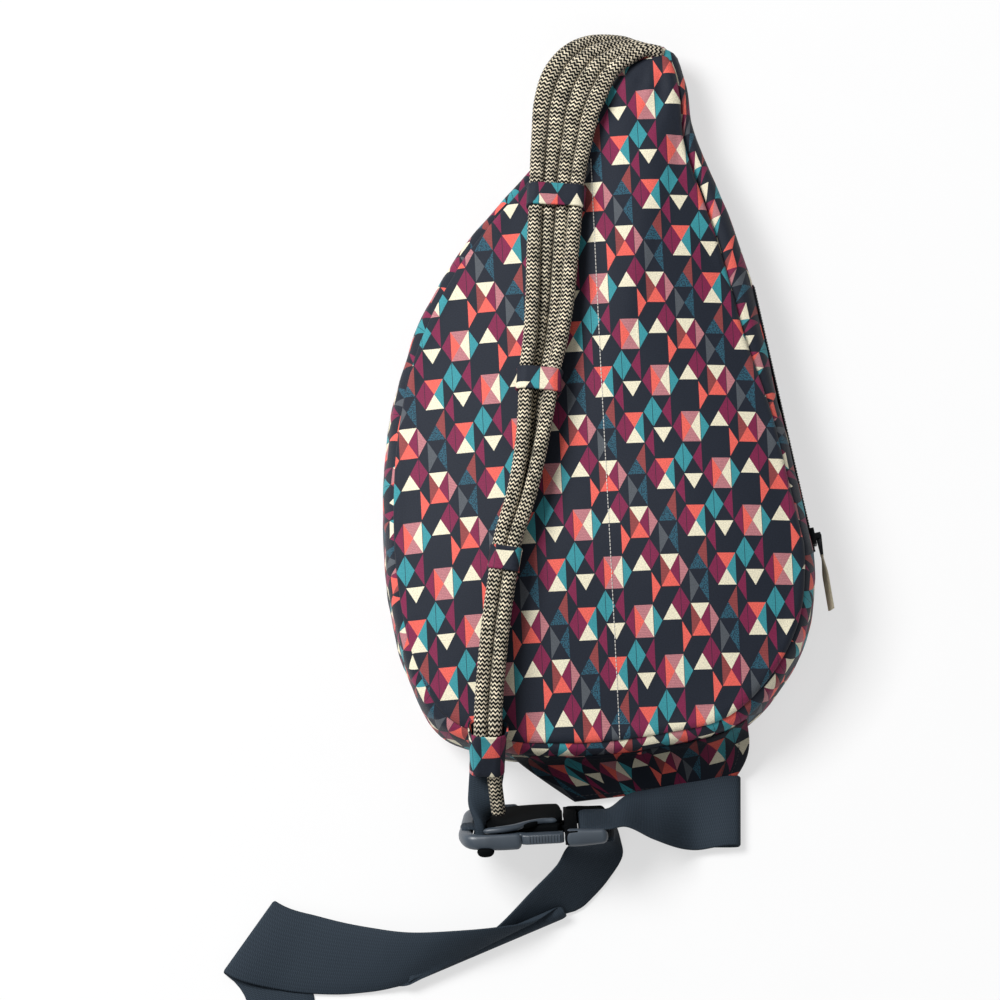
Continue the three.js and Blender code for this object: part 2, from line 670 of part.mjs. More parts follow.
function buildTab(frame) {
  const inBuckle = (x, y, z) => new THREE.Vector3(x, y, z).applyMatrix4(frame.matrix);
  const start = routeFrame(sleeveSpan);
  const ropeEnd = routeFrame(sleeveSpan + 1);
  const axis = ropeEnd.centre.clone().sub(start.centre).normalize();
  const across = new THREE.Vector3(-axis.y, axis.x, 0).normalize();
  const away = new THREE.Vector3().crossVectors(across, axis).negate();
  const first = ropeEnd.centre.clone().addScaledVector(axis, 2 * sewnGap);
  const leaving = start.centre.clone().addScaledVector(axis, sleeveLength + tabLead);
  const loopHole = [strapBar + 2 * mouldGap, strapBarThickness + 2 * mouldGap];
  const loopOuter = loopHole.map((size) => size + 2 * tabLoopWall);
  const landing = inBuckle(strapBarMiddle, tabLoopPlace, -loopOuter[1] / 2 + tabLoopWall / 2);
  const barLine = inBuckle(0, 1, 0).sub(inBuckle(0, 0, 0)).negate();
  const sections = [roundedLoop(first, across, away, tabWidth, tabThickness)];
  for (let i = 0; i <= tabTwistSteps; i += 1) {
    const share = i / tabTwistSteps;
    const centre = leaving.clone().lerp(landing, share);
    const sideways = across.clone().lerp(barLine, eased(share, 0, 1)).normalize();
    const forward = landing.clone().sub(leaving).normalize().lerp(axis, 1 - share).normalize();
    const thick = new THREE.Vector3().crossVectors(sideways, forward).normalize();
    const width = THREE.MathUtils.lerp(tabWidth, tabNeck, share);
    const thickness = THREE.MathUtils.lerp(tabThickness, tabNeckThickness, share);
    sections.push(roundedLoop(centre, sideways, thick, width, thickness));
  }
  const loopRange = [tabLoopPlace - tabLoopWidth / 2, tabLoopPlace + tabLoopWidth / 2];
  const around = (size) => [strapBarMiddle - size / 2, strapBarMiddle + size / 2];
  const ring = combine([block(around(loopOuter[0]), loopRange, centred(loopOuter[1]))],
    [block(around(loopHole[0]), [loopRange[0] - cutPast, loopRange[1] + cutPast], centred(loopHole[1]))]);
  addMesh(strap, 'strap_end_tab', combine([loft(sections), ring.applyMatrix4(frame.matrix)]), finishes.webbing);
}

// Webbing: a ruled strip through pairs of edge points, sewn under the wing, folded back, twisted into the
// ladder, round its first bar and out as a loose tail that folds over on the floor and under itself at its end

const tailDrop = [
  [[16.5, -305.7, 5], [-5.6, -321.6, 46]], [[17.3, -313.9, 3], [-18.2, -316.3, 38]],
  [[7, -331.4, 1.5], [-29.4, -327.9, 35]], [[-5.6, -345.8, 1.5], [-45.5, -343.5, 28]],
  [[-14, -352.2, 1.5], [-75.6, -370.9, 12]],
];
const foldMiddle = [[-24, -353.3], [-130.4, -399.4]];
const foldMiddleRadius = 5;
const tailRun = [
  [[-42, -362.6, 17], [-133, -407.1, 9]], [[-69.3, -369.8, 27], [-140, -408.3, 6]],
  [[-100.1, -373.5, 31], [-150.5, -410.4, 4]], [[-131.6, -373.6, 26], [-163.1, -412, 3]],
  [[-163.1, -367.9, 18], [-184.1, -413.3, 2.5]], [[-194.6, -359.3, 11], [-220.5, -410.5, 3]],
];
const foldLeft = [[-224, -348.3], [-259.7, -399.5]];
const foldLeftRadius = 2.6;
const foldRight = [[95, -262], [95, -312]];
const foldRightRadius = 4;
const foldSteps = 4;
const hiddenLength = 30;
const hiddenTail = 86;
const tailArriving = new THREE.Vector2(-1, -0.03).normalize();

const onFloor = webThickness / 2 + webFloorGap;

function foldStations([a, b], radius, outward, rising) {
  return Array.from({ length: foldSteps + 1 }, (_, i) => {
    const angle = Math.PI * (i / foldSteps - 0.5) * (rising ? 1 : -1);
    const reach = radius * Math.cos(angle);
    const z = onFloor + radius * (1 + Math.sin(angle));
    return [a, b].map(([x, y]) => new THREE.Vector3(x + outward.x * reach, y + outward.y * reach, z));
  });
}

function ladderStations(frame) {
  const clear = ladderThickness / 2 + webThickness / 2 + webGap;
  const slotMiddle = plugEnd + ladderSlot / 2;
  const barEnd = firstBar + ladderBar;
  const corner = firstBar - 2 * barRounding;
  const route = [
    [ladderEnd + ladderLead, -clear], [barEnd, -clear], [firstBar + barRounding, -clear],
    [corner, barRounding - clear], [slotMiddle, 0], [corner, clear - barRounding],
    [firstBar + barRounding, clear], [barEnd, clear], [ladderEnd, clear],
    [ladderEnd + ladderExit, clear + webThickness],
  ];
  return route.map(([x, z]) => [-webWidth / 2, webWidth / 2].map((y) =>
    new THREE.Vector3(x, y, z).applyMatrix4(frame.matrix)));
}

function webbingStations(frame) {
  const flat = (pair) => pair.map(([x, y]) => new THREE.Vector2(x, y));
  const solid = (pairs) => pairs.map((pair) => pair.map((p) => new THREE.Vector3(...p)));
  const square = ([a, b]) => new THREE.Vector2(a.y - b.y, b.x - a.x).normalize();
  const sewn = flat(foldRight).map((p) => new THREE.Vector3(p.x - hiddenLength, p.y, onFloor));
  const twist = solid([
    [[67, -264.3, 9.3], [67, -311.6, 8]], [[39, -271.9, 7], [39, -310.2, 39]], [[20, -280, 8], [19, -308.5, 49]],
  ]);
  const [start, end] = flat(foldLeft);
  const crease = end.clone().sub(start).normalize();
  const returning = crease.clone().multiplyScalar(2 * crease.dot(tailArriving)).sub(tailArriving);
  const half = new THREE.Vector2(-returning.y, returning.x).multiplyScalar(webWidth / 2);
  const hemCentre = start.clone().add(end).multiplyScalar(0.5).addScaledVector(returning, hiddenTail);
  const hem = [hemCentre.clone().add(half), hemCentre.clone().sub(half)].map((p) => raised(p, onFloor));
  return [
    sewn, ...foldStations(foldRight, foldRightRadius, square(flat(foldRight)), true), ...twist,
    ...ladderStations(frame), ...solid(tailDrop),
    ...foldStations(foldMiddle, foldMiddleRadius, square(flat(foldMiddle)), true), ...solid(tailRun),
    ...foldStations(foldLeft, foldLeftRadius, square(flat(foldLeft)).negate(), false), hem,
  ];
}

function buildWebbing(frame) {
  const stations = webbingStations(frame);
  const last = stations.length - 1;
  const middle = ([a, b]) => a.clone().add(b).multiplyScalar(0.5);
  const offsets = stations.map(([a, b], i) => {
    const forward = middle(stations[Math.min(i + 1, last)]).sub(middle(stations[Math.max(i - 1, 0)]));
    return new THREE.Vector3().crossVectors(forward, b.clone().sub(a)).normalize().multiplyScalar(webThickness / 2);
  });
  const rowAt = (sign) => stations.map((pair, i) => pair.map((p) => p.clone().addScaledVector(offsets[i], sign)));
  addMesh(strap, 'webbing_strap', slab(rowAt(-1), rowAt(1)), finishes.webbing);
}

function buildStrap() {
  const frame = buckleFrame();
  strap.add(frame);
  buildRopes();
  buildFabricLoops();
  buildBuckle(frame);
  buildTab(frame);
  buildWebbing(frame);
}

buildBackPanel();
buildGusset();
buildFrontPanel();
buildWing();
buildZip();
buildStrap();

const box = new THREE.Box3().setFromObject(bag, true);
model.position.set(-(box.min.x + box.max.x) / 2, -(box.min.y + box.max.y) / 2, -box.min.z);

export default model;
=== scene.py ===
"""Looks of a rope sling bag on its fixed frame, in metres.

The bag lies on its front with the padded back up: printed fabric, four braided ropes held by fabric
loops, a side-release buckle, a length of webbing and a side zip.
"""
import logging
import math
from collections.abc import Sequence
from dataclasses import dataclass
from enum import Enum

import bmesh
import bpy
import numpy as np
from mathutils import Matrix, Vector, noise
from mathutils.bvhtree import BVHTree


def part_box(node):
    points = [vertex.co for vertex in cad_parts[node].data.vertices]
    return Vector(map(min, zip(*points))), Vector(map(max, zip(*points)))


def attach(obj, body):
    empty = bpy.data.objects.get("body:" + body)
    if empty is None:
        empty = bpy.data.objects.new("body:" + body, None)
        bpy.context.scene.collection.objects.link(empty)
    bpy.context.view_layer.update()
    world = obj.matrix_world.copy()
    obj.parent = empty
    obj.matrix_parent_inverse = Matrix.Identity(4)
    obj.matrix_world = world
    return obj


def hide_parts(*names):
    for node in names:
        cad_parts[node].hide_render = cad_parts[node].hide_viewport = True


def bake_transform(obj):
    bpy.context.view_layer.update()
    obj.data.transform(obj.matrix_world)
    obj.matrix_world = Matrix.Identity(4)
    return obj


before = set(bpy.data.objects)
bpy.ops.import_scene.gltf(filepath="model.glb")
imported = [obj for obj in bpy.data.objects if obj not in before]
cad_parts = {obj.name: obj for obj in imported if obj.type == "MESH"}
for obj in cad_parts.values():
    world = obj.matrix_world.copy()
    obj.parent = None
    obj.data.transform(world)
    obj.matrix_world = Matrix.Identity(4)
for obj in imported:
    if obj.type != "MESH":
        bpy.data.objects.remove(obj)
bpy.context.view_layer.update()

MM = 0.001
WEAVE_MAP = "weave"
LOG = logging.getLogger("rope_sling_bag")
Array = np.ndarray
Object = bpy.types.Object
Material = bpy.types.Material


class Slot(Enum):
    """Material slots of the record."""

    PRINT = "printed_fabric"
    TAPE = "zip_tape"
    COIL = "zip_coil"
    METAL = "zip_metal"
    RIBBON = "pale_ribbon"
    ROPE = "braided_rope"
    WEBBING = "black_webbing"
    PLASTIC = "buckle_plastic"


class Ink(Enum):
    """Inks of the print: letter, red, green and blue from 0 to 255, and weave.

    A weave of 1 is plain, 0.5 is striped and 0 is stippled.
    """

    GROUND = (".", (31, 37, 49), 1.0)
    TEAL = ("T", (60, 150, 160), 1.0)
    CORAL = ("C", (240, 104, 92), 1.0)
    WINE = ("B", (130, 38, 76), 1.0)
    BRICK = ("R", (158, 76, 76), 0.5)
    PINK = ("P", (204, 134, 140), 0.5)
    CREAM = ("W", (242, 234, 206), 1.0)
    GREY = ("Y", (86, 91, 97), 1.0)
    DUSK = ("D", (50, 100, 120), 0.0)


# Each hexagon of the print has an upper and a lower triangle, then the inner and outer halves of its left
# and its right diamond
HEXAGONS = ("CWBBT.", "..TTB.", ".....C", "WCR.BP", ".D..R.", "W..B..", "PPCBWT", ".W..BB", "..Y.D.")


def linear(rgb: Sequence[int]) -> tuple[float, float, float, float]:
    """Turns a screen colour into the light values that a shader takes.

    Args:
        rgb: Red, green and blue from 0 to 255.

    Returns:
        Red, green, blue and an alpha of 1.
    """
    shares = [value / 255 for value in rgb]
    return (*(s / 12.92 if s <= 0.04045 else ((s + 0.055) / 1.055) ** 2.4 for s in shares), 1.0)


# Curves, grids and meshes


def eased(value: Array | float, start: float, end: float) -> Array | float:
    """Smooth step from 0 at start to 1 at end."""
    share = np.clip((value - start) / (end - start), 0, 1)
    return share * share * (3 - 2 * share)


def spline(points: Array, per_span: int = 24) -> Array:
    """Draws a smooth curve through points, which needn't be evenly spaced.

    Args:
        points: One point a row.
        per_span: Steps between two neighbours.

    Returns:
        The curve's points, one a row.
    """
    gaps = np.diff(points, axis=0)
    steps = np.linalg.norm(gaps, axis=1)[:, None]
    slopes = gaps / steps
    inner = (slopes[:-1] * steps[1:] + slopes[1:] * steps[:-1]) / (steps[:-1] + steps[1:])
    tangents = np.vstack([slopes[:1], inner, slopes[-1:]])
    t = np.linspace(0, 1, per_span, endpoint=False)[:, None]
    spans = []
    for a, b, leave, arrive in zip(points, points[1:], tangents[:-1] * steps, tangents[1:] * steps):
        cubic = (2 * a - 2 * b + leave + arrive) * t ** 3
        spans.append(cubic + (3 * b - 3 * a - 2 * leave - arrive) * t ** 2 + leave * t + a)
    return np.vstack([*spans, points[-1:]])


def distances(path: Array) -> Array:
    """Distance along a path from its start to each of its points."""
    return np.concatenate([[0.0], np.cumsum(np.linalg.norm(np.diff(path, axis=0), axis=1))])


def spaced(path: Array, count: int) -> Array:
    """Points at equal steps along a path.

    Args:
        path: One point a row, of any number of columns.
        count: How many points.

    Returns:
        The new points, one a row, from the path's start to its end.
    """
    along = distances(path)
    wanted = np.linspace(0, along[-1], count)
    return np.column_stack([np.interp(wanted, along, column) for column in path.T])


def ripple(points: Array, size: float, seed: float) -> Array:
    """Smooth noise, from about -1 to 1, at each point.

    Args:
        points: Array whose last axis is x, y, z.
        size: Width of a ripple.
        seed: Place in the noise, so that two ripples differ.

    Returns:
        One number for each point.
    """
    shift = Vector((seed, 1.7 * seed, 2.3 * seed))
    values = [noise.noise(Vector(p) + shift) for p in points.reshape(-1, 3) / size]
    return np.array(values).reshape(points.shape[:-1])


@dataclass(frozen=True)
class Ripples:
    """Soft waves of cloth: their width, their place in the noise and their height."""

    size: float
    seed: float
    height: float

    def at(self, points: Array) -> Array:
        """Height of the waves at each point."""
        return ripple(points, self.size, self.seed) * self.height


def unit(vectors: Array) -> Array:
    """Vectors of length 1 along the last axis."""
    return vectors / np.maximum(np.linalg.norm(vectors, axis=-1, keepdims=True), 1e-12)


def sideways(forward: Array) -> Array:
    """Level direction to the left of a direction."""
    return unit(np.array((-forward[1], forward[0], 0.0)))


def rounded_section(sides: int, power: float) -> Array:
    """Points round a section of half width 1.

    Args:
        sides: How many points.
        power: 1 for a circle, less for a squarer section.

    Returns:
        One point a row.
    """
    angle = np.linspace(0, 2 * math.pi, sides, endpoint=False)
    flat = np.column_stack([np.cos(angle), np.sin(angle)])
    return np.sign(flat) * np.abs(flat) ** power


def linked(name: str, data: bpy.types.ID) -> Object:
    """Adds an object to the scene, at the origin.

    Args:
        name: The object's name.
        data: Its mesh, lamp or lens.

    Returns:
        The new object.
    """
    obj = bpy.data.objects.new(name, data)
    bpy.context.scene.collection.objects.link(obj)
    return obj


def smooth(mesh: bpy.types.Mesh) -> None:
    """Shades every face of a mesh smoothly."""
    mesh.polygons.foreach_set("use_smooth", [True] * len(mesh.polygons))


def add_object(name: str, vertices: Array, faces: list, loop_uv: Array | None = None) -> Object:
    """Adds a smooth mesh object at the origin with its faces pointing outwards.

    Args:
        name: The object's name.
        vertices: One point a row.
        faces: Vertex numbers of each face.
        loop_uv: Two columns, one row for each corner of each face in turn.

    Returns:
        The new object.
    """
    mesh = bpy.data.meshes.new(name)
    mesh.from_pydata(vertices.tolist(), [], faces)
    if loop_uv is not None:
        mesh.uv_layers.new(name=WEAVE_MAP).data.foreach_set("uv", loop_uv.astype(np.float32).ravel())
    smooth(mesh)
    volume = 0.0
    for face in faces:
        first = vertices[face[0]]
        for b, c in zip(face[1:], face[2:]):
            volume += float(np.dot(first, np.cross(vertices[b], vertices[c])))
    if volume < 0:
        mesh.flip_normals()
    mesh.update()
    return linked(name, mesh)


def skin(name: str, points: Array, uv: Array, wrap_rows: bool = False) -> Object:
    """Adds a closed skin over rings of points, each ring closed on itself.

    Args:
        name: The object's name.
        points: Rings, columns and x, y, z.
        uv: Rings, columns and one more, and two places on the cloth; one more ring where rows wrap.
        wrap_rows: Whether the last ring joins the first; if not, both are filled.

    Returns:
        The new object.
    """
    rings, columns = points.shape[:2]
    spans = rings if wrap_rows else rings - 1
    i, j = np.meshgrid(np.arange(spans), np.arange(columns), indexing="ij")
    corners = [(i, j), (i + 1, j), (i + 1, j + 1), (i, j + 1)]
    quads = np.stack([(a % rings) * columns + b % columns for a, b in corners], axis=-1).reshape(-1, 4)
    loop_uv = [np.stack([uv[a, b] for a, b in corners], axis=-2).reshape(-1, 2)]
    faces = quads.tolist()
    if not wrap_rows:
        last = (rings - 1) * columns
        faces.append(list(range(columns)))
        faces.append(list(range(last, last + columns))[::-1])
        loop_uv += [uv[0, :columns], uv[-1, :columns][::-1]]
    return add_object(name, points.reshape(-1, 3), faces, np.vstack(loop_uv))


def swept(path: Array, across: Array, sizes: Array, power: float, sides: int = 32) -> Array:
    """Rounded sections along a path.

    Args:
        path: One point a row.
        across: Direction of each section's width.
        sizes: Width and thickness of each section.
        power: 1 for ellipses, less for squarer sections.
        sides: Points of a section.

    Returns:
        Rings, columns and x, y, z.
    """
    flat = rounded_section(sides, power)
    forward = unit(np.gradient(path, axis=0))
    level = unit(across - forward * np.sum(across * forward, axis=1, keepdims=True))
    thick = np.cross(level, forward)
    wide = level[:, None] * (sizes[:, :1] / 2 * flat[:, 0])[..., None]
    return path[:, None] + wide + thick[:, None] * (sizes[:, 1:] / 2 * flat[:, 1])[..., None]


def ring_uv(points: Array, wrap_rows: bool = False) -> Array:
    """Lays a skin's rings out flat: distance round the middle ring, and from ring to ring.

    Args:
        points: Rings, columns and x, y, z.
        wrap_rows: Whether the last ring joins the first.

    Returns:
        Rings, columns and one more, and two places on the cloth.
    """
    rings = np.concatenate([points, points[:1]]) if wrap_rows else points
    closed = np.concatenate([rings, rings[:, :1]], axis=1)
    middle = closed[len(closed) // 2]
    around = np.broadcast_to(distances(middle), closed.shape[:2])
    along = np.stack([distances(closed[:, j]) for j in range(closed.shape[1])], axis=1)
    return np.stack([around, along], axis=-1)


def grid_uv(across: Array, along: Array) -> Array:
    """Lays a skin's rings out flat, with one place across for each column and one along for each ring."""
    return np.stack(np.broadcast_arrays(across[None, :], along[:, None]), axis=-1)


def level_uv(points: Array) -> Array:
    """Lays a skin's rings out as they are seen from above."""
    return np.concatenate([points, points[:, :1]], axis=1)[..., :2]


def finished(obj: Object) -> Object:
    """Applies an object's modifiers, so that it holds a plain mesh.

    Args:
        obj: The object.

    Returns:
        The same object.
    """
    graph = bpy.context.evaluated_depsgraph_get()
    mesh = bpy.data.meshes.new_from_object(obj.evaluated_get(graph))
    old = obj.data
    obj.modifiers.clear()
    obj.data = mesh
    mesh.name = old.name
    if old.users == 0:
        bpy.data.meshes.remove(old)
    return obj


def moulded(node: str, rounding: float, segments: int = 3) -> Object:
    """A copy of a solid with every edge rounded.

    Args:
        node: The solid's node.
        rounding: Width of the rounded edge.
        segments: Steps across it.

    Returns:
        The rounded piece.
    """
    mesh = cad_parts[node].data.copy()
    work = bmesh.new()
    work.from_mesh(mesh)
    bmesh.ops.remove_doubles(work, verts=work.verts, dist=0.01 * MM)
    bmesh.ops.dissolve_limit(work, angle_limit=math.radians(1), verts=work.verts, edges=work.edges)
    work.to_mesh(mesh)
    work.free()
    obj = linked(f"{node}_moulded", mesh)
    bevel = obj.modifiers.new("edges", "BEVEL")
    bevel.width = rounding
    bevel.segments = segments
    bevel.limit_method = "ANGLE"
    bevel.angle_limit = math.radians(25)
    return finished(obj)


def dress(obj: Object, material: Material, sharp_degrees: float | None = None) -> Object:
    """Gives an object one material.

    Args:
        obj: The object.
        material: Its finish.
        sharp_degrees: Angle past which its edges are sharp, where it has sharp edges.

    Returns:
        The same object.
    """
    obj.data.materials.clear()
    obj.data.materials.append(material)
    if sharp_degrees is not None:
        smooth(obj.data)
        obj.data.set_sharp_from_angle(angle=math.radians(sharp_degrees))
    return obj


def settle(obj: Object, body: str, slot: Slot, *nodes: str) -> Object:
    """Makes a piece ride on a body and hides the nodes that it stands for.

    Args:
        obj: The finished piece.
        body: Body that it moves with.
        slot: Record slot of its finish; not used.
        nodes: Solids that it replaces.

    Returns:
        The piece.
    """
    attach(obj, body)
    if nodes:
        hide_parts(*nodes)
    LOG.info("%s: %d faces on %s", obj.name, len(obj.data.polygons), body)
    return obj


# Shader maths


class Field:
    """A number that varies over a surface, as a socket that takes part in Python expressions."""

    def __init__(self, tree: bpy.types.NodeTree, socket: bpy.types.NodeSocket) -> None:
        """Wraps one output socket of a tree."""
        self.tree = tree
        self.socket = socket

    def calculate(self, operation: str, *values: "Field | float", clamp: bool = False) -> "Field":
        """Adds one Math node.

        Args:
            operation: The node's operation.
            values: Its operands, in order.
            clamp: Whether the result stays from 0 to 1.

        Returns:
            The result.
        """
        node = self.tree.nodes.new("ShaderNodeMath")
        node.operation = operation
        node.use_clamp = clamp
        for socket, value in zip(node.inputs, values):
            if isinstance(value, Field):
                self.tree.links.new(value.socket, socket)
            else:
                socket.default_value = value
        return Field(self.tree, node.outputs[0])

    def __add__(self, other: "Field | float") -> "Field":
        """Sum."""
        return self.calculate("ADD", self, other)

    def __radd__(self, other: float) -> "Field":
        """Sum, with a number first."""
        return self.calculate("ADD", other, self)

    def __sub__(self, other: "Field | float") -> "Field":
        """Difference."""
        return self.calculate("SUBTRACT", self, other)

    def __rsub__(self, other: float) -> "Field":
        """Difference, with a number first."""
        return self.calculate("SUBTRACT", other, self)

    def __mul__(self, other: "Field | float") -> "Field":
        """Product."""
        return self.calculate("MULTIPLY", self, other)

    def __rmul__(self, other: float) -> "Field":
        """Product, with a number first."""
        return self.calculate("MULTIPLY", other, self)

    def __truediv__(self, other: "Field | float") -> "Field":
        """Quotient."""
        return self.calculate("DIVIDE", self, other)

    def __gt__(self, other: "Field | float") -> "Field":
        """1 where this is greater, else 0."""
        return self.calculate("GREATER_THAN", self, other)

    def __abs__(self) -> "Field":
        """Size without sign."""
        return self.calculate("ABSOLUTE", self)

    def __mod__(self, other: float) -> "Field":
        """Remainder, never below 0."""
        return self.calculate("FLOORED_MODULO", self, other)

    def rounded(self) -> "Field":
        """Nearest whole number."""
        return self.calculate("ROUND", self)

    def floor(self) -> "Field":
        """Whole number below."""
        return self.calculate("FLOOR", self)

    def sine(self) -> "Field":
        """Sine of an angle in radians."""
        return self.calculate("SINE", self)

    def larger(self, other: "Field") -> "Field":
        """The larger of two."""
        return self.calculate("MAXIMUM", self, other)

    def limited(self) -> "Field":
        """This, kept from 0 to 1."""
        return self.calculate("ADD", self, 0.0, clamp=True)


class Shader:
    """The nodes of one material."""

    def __init__(self, name: str) -> None:
        """Starts an empty material with a Principled surface.

        Args:
            name: The material's name.
        """
        self.material = bpy.data.materials.new(name)
        self.material.use_nodes = True
        self.tree = self.material.node_tree
        self.tree.nodes.clear()
        self.surface = self.node("ShaderNodeBsdfPrincipled")
        self.output = self.node("ShaderNodeOutputMaterial", values={"Surface": self.surface.outputs[0]})

    def node(self, kind: str, settings: dict | None = None, values: dict | None = None) -> bpy.types.Node:
        """Adds a node.

        Args:
            kind: The node's type.
            settings: Its own settings, set first.
            values: Sockets by name or number, each with a number, a colour, a socket or a Field.

        Returns:
            The node.
        """
        node = self.tree.nodes.new(kind)
        for key, value in (settings or {}).items():
            setattr(node, key, value)
        for key, value in (values or {}).items():
            self.feed(node, key, value)
        return node

    def feed(self, node: bpy.types.Node, key: str | int, value: object) -> None:
        """Sets or links one socket of a node.

        Args:
            node: The node.
            key: The socket's name or number.
            value: A number, a colour, a socket or a Field.
        """
        if isinstance(value, Field):
            value = value.socket
        if isinstance(value, bpy.types.NodeSocket):
            self.tree.links.new(value, node.inputs[key])
        else:
            node.inputs[key].default_value = value

    def finish(self, **values: object) -> Material:
        """Sets the surface's sockets.

        Args:
            values: Values or links by the socket's name, with underscores for spaces.

        Returns:
            The material.
        """
        for key, value in values.items():
            self.feed(self.surface, key.replace("_", " ").title().replace("Ior", "IOR"), value)
        return self.material

    def cloth_place(self) -> tuple[Field, Field]:
        """Place on the piece's own cloth.

        Returns:
            Place across and place along, in metres.
        """
        parts = self.node("ShaderNodeSeparateXYZ", values={
            0: self.node("ShaderNodeUVMap", {"uv_map": WEAVE_MAP}).outputs[0]})
        return Field(self.tree, parts.outputs[0]), Field(self.tree, parts.outputs[1])

    def object_place(self) -> bpy.types.NodeSocket:
        """Place on the piece, in metres."""
        return self.node("ShaderNodeTexCoord").outputs["Object"]

    def grain(self, place: bpy.types.NodeSocket, size: float, detail: float = 2.0) -> Field:
        """Noise from 0 to 1 with grains of a size in metres."""
        values = {"Vector": place, "Scale": 1 / size, "Detail": detail}
        return Field(self.tree, self.node("ShaderNodeTexNoise", values=values).outputs[0])

    def vector(self, x: Field | float, y: Field | float) -> bpy.types.NodeSocket:
        """A vector from two numbers."""
        return self.node("ShaderNodeCombineXYZ", values={"X": x, "Y": y}).outputs[0]

    def mixed(self, share: Field, a: object, b: object) -> bpy.types.NodeSocket:
        """Colour a where share is 0 and b where it is 1."""
        node = self.node("ShaderNodeMix", {"data_type": "RGBA"}, {0: share, 6: a, 7: b})
        return node.outputs[2]

    def toned(self, share: Field, rgb: Sequence[int], tones: Sequence[float]) -> bpy.types.NodeSocket:
        """A screen colour that goes from the first to the second of two tones of itself."""
        return self.mixed(share, *(linear([tone * value for value in rgb]) for tone in tones))

    def shaded(self, colour: bpy.types.NodeSocket, share: Field) -> bpy.types.NodeSocket:
        """A colour made lighter or darker by a factor."""
        values = {"Vector": colour, "Scale": share}
        return self.node("ShaderNodeVectorMath", {"operation": "SCALE"}, values).outputs[0]

    def lookup(self, share: Field, stops: Sequence[tuple]) -> bpy.types.Node:
        """A colour for each of several equal steps of a number from 0 to 1.

        Args:
            share: The number.
            stops: The colours.

        Returns:
            A node with the colour and its alpha.
        """
        node = self.node("ShaderNodeValToRGB", values={0: share})
        ramp = node.color_ramp
        ramp.interpolation = "CONSTANT"
        for i, colour in enumerate(stops):
            stop = ramp.elements[0] if i == 0 else ramp.elements.new(i / len(stops))
            stop.position = i / len(stops)
            stop.color = colour
        ramp.elements.remove(ramp.elements[-1])
        return node

    def bump(self, height: Field, depth: float) -> bpy.types.NodeSocket:
        """A bumpy normal.

        Args:
            height: From 0 to 1.
            depth: Height of a bump in metres.

        Returns:
            The normal.
        """
        return self.node("ShaderNodeBump", values={"Height": height, "Distance": depth}).outputs[0]


# Finishes


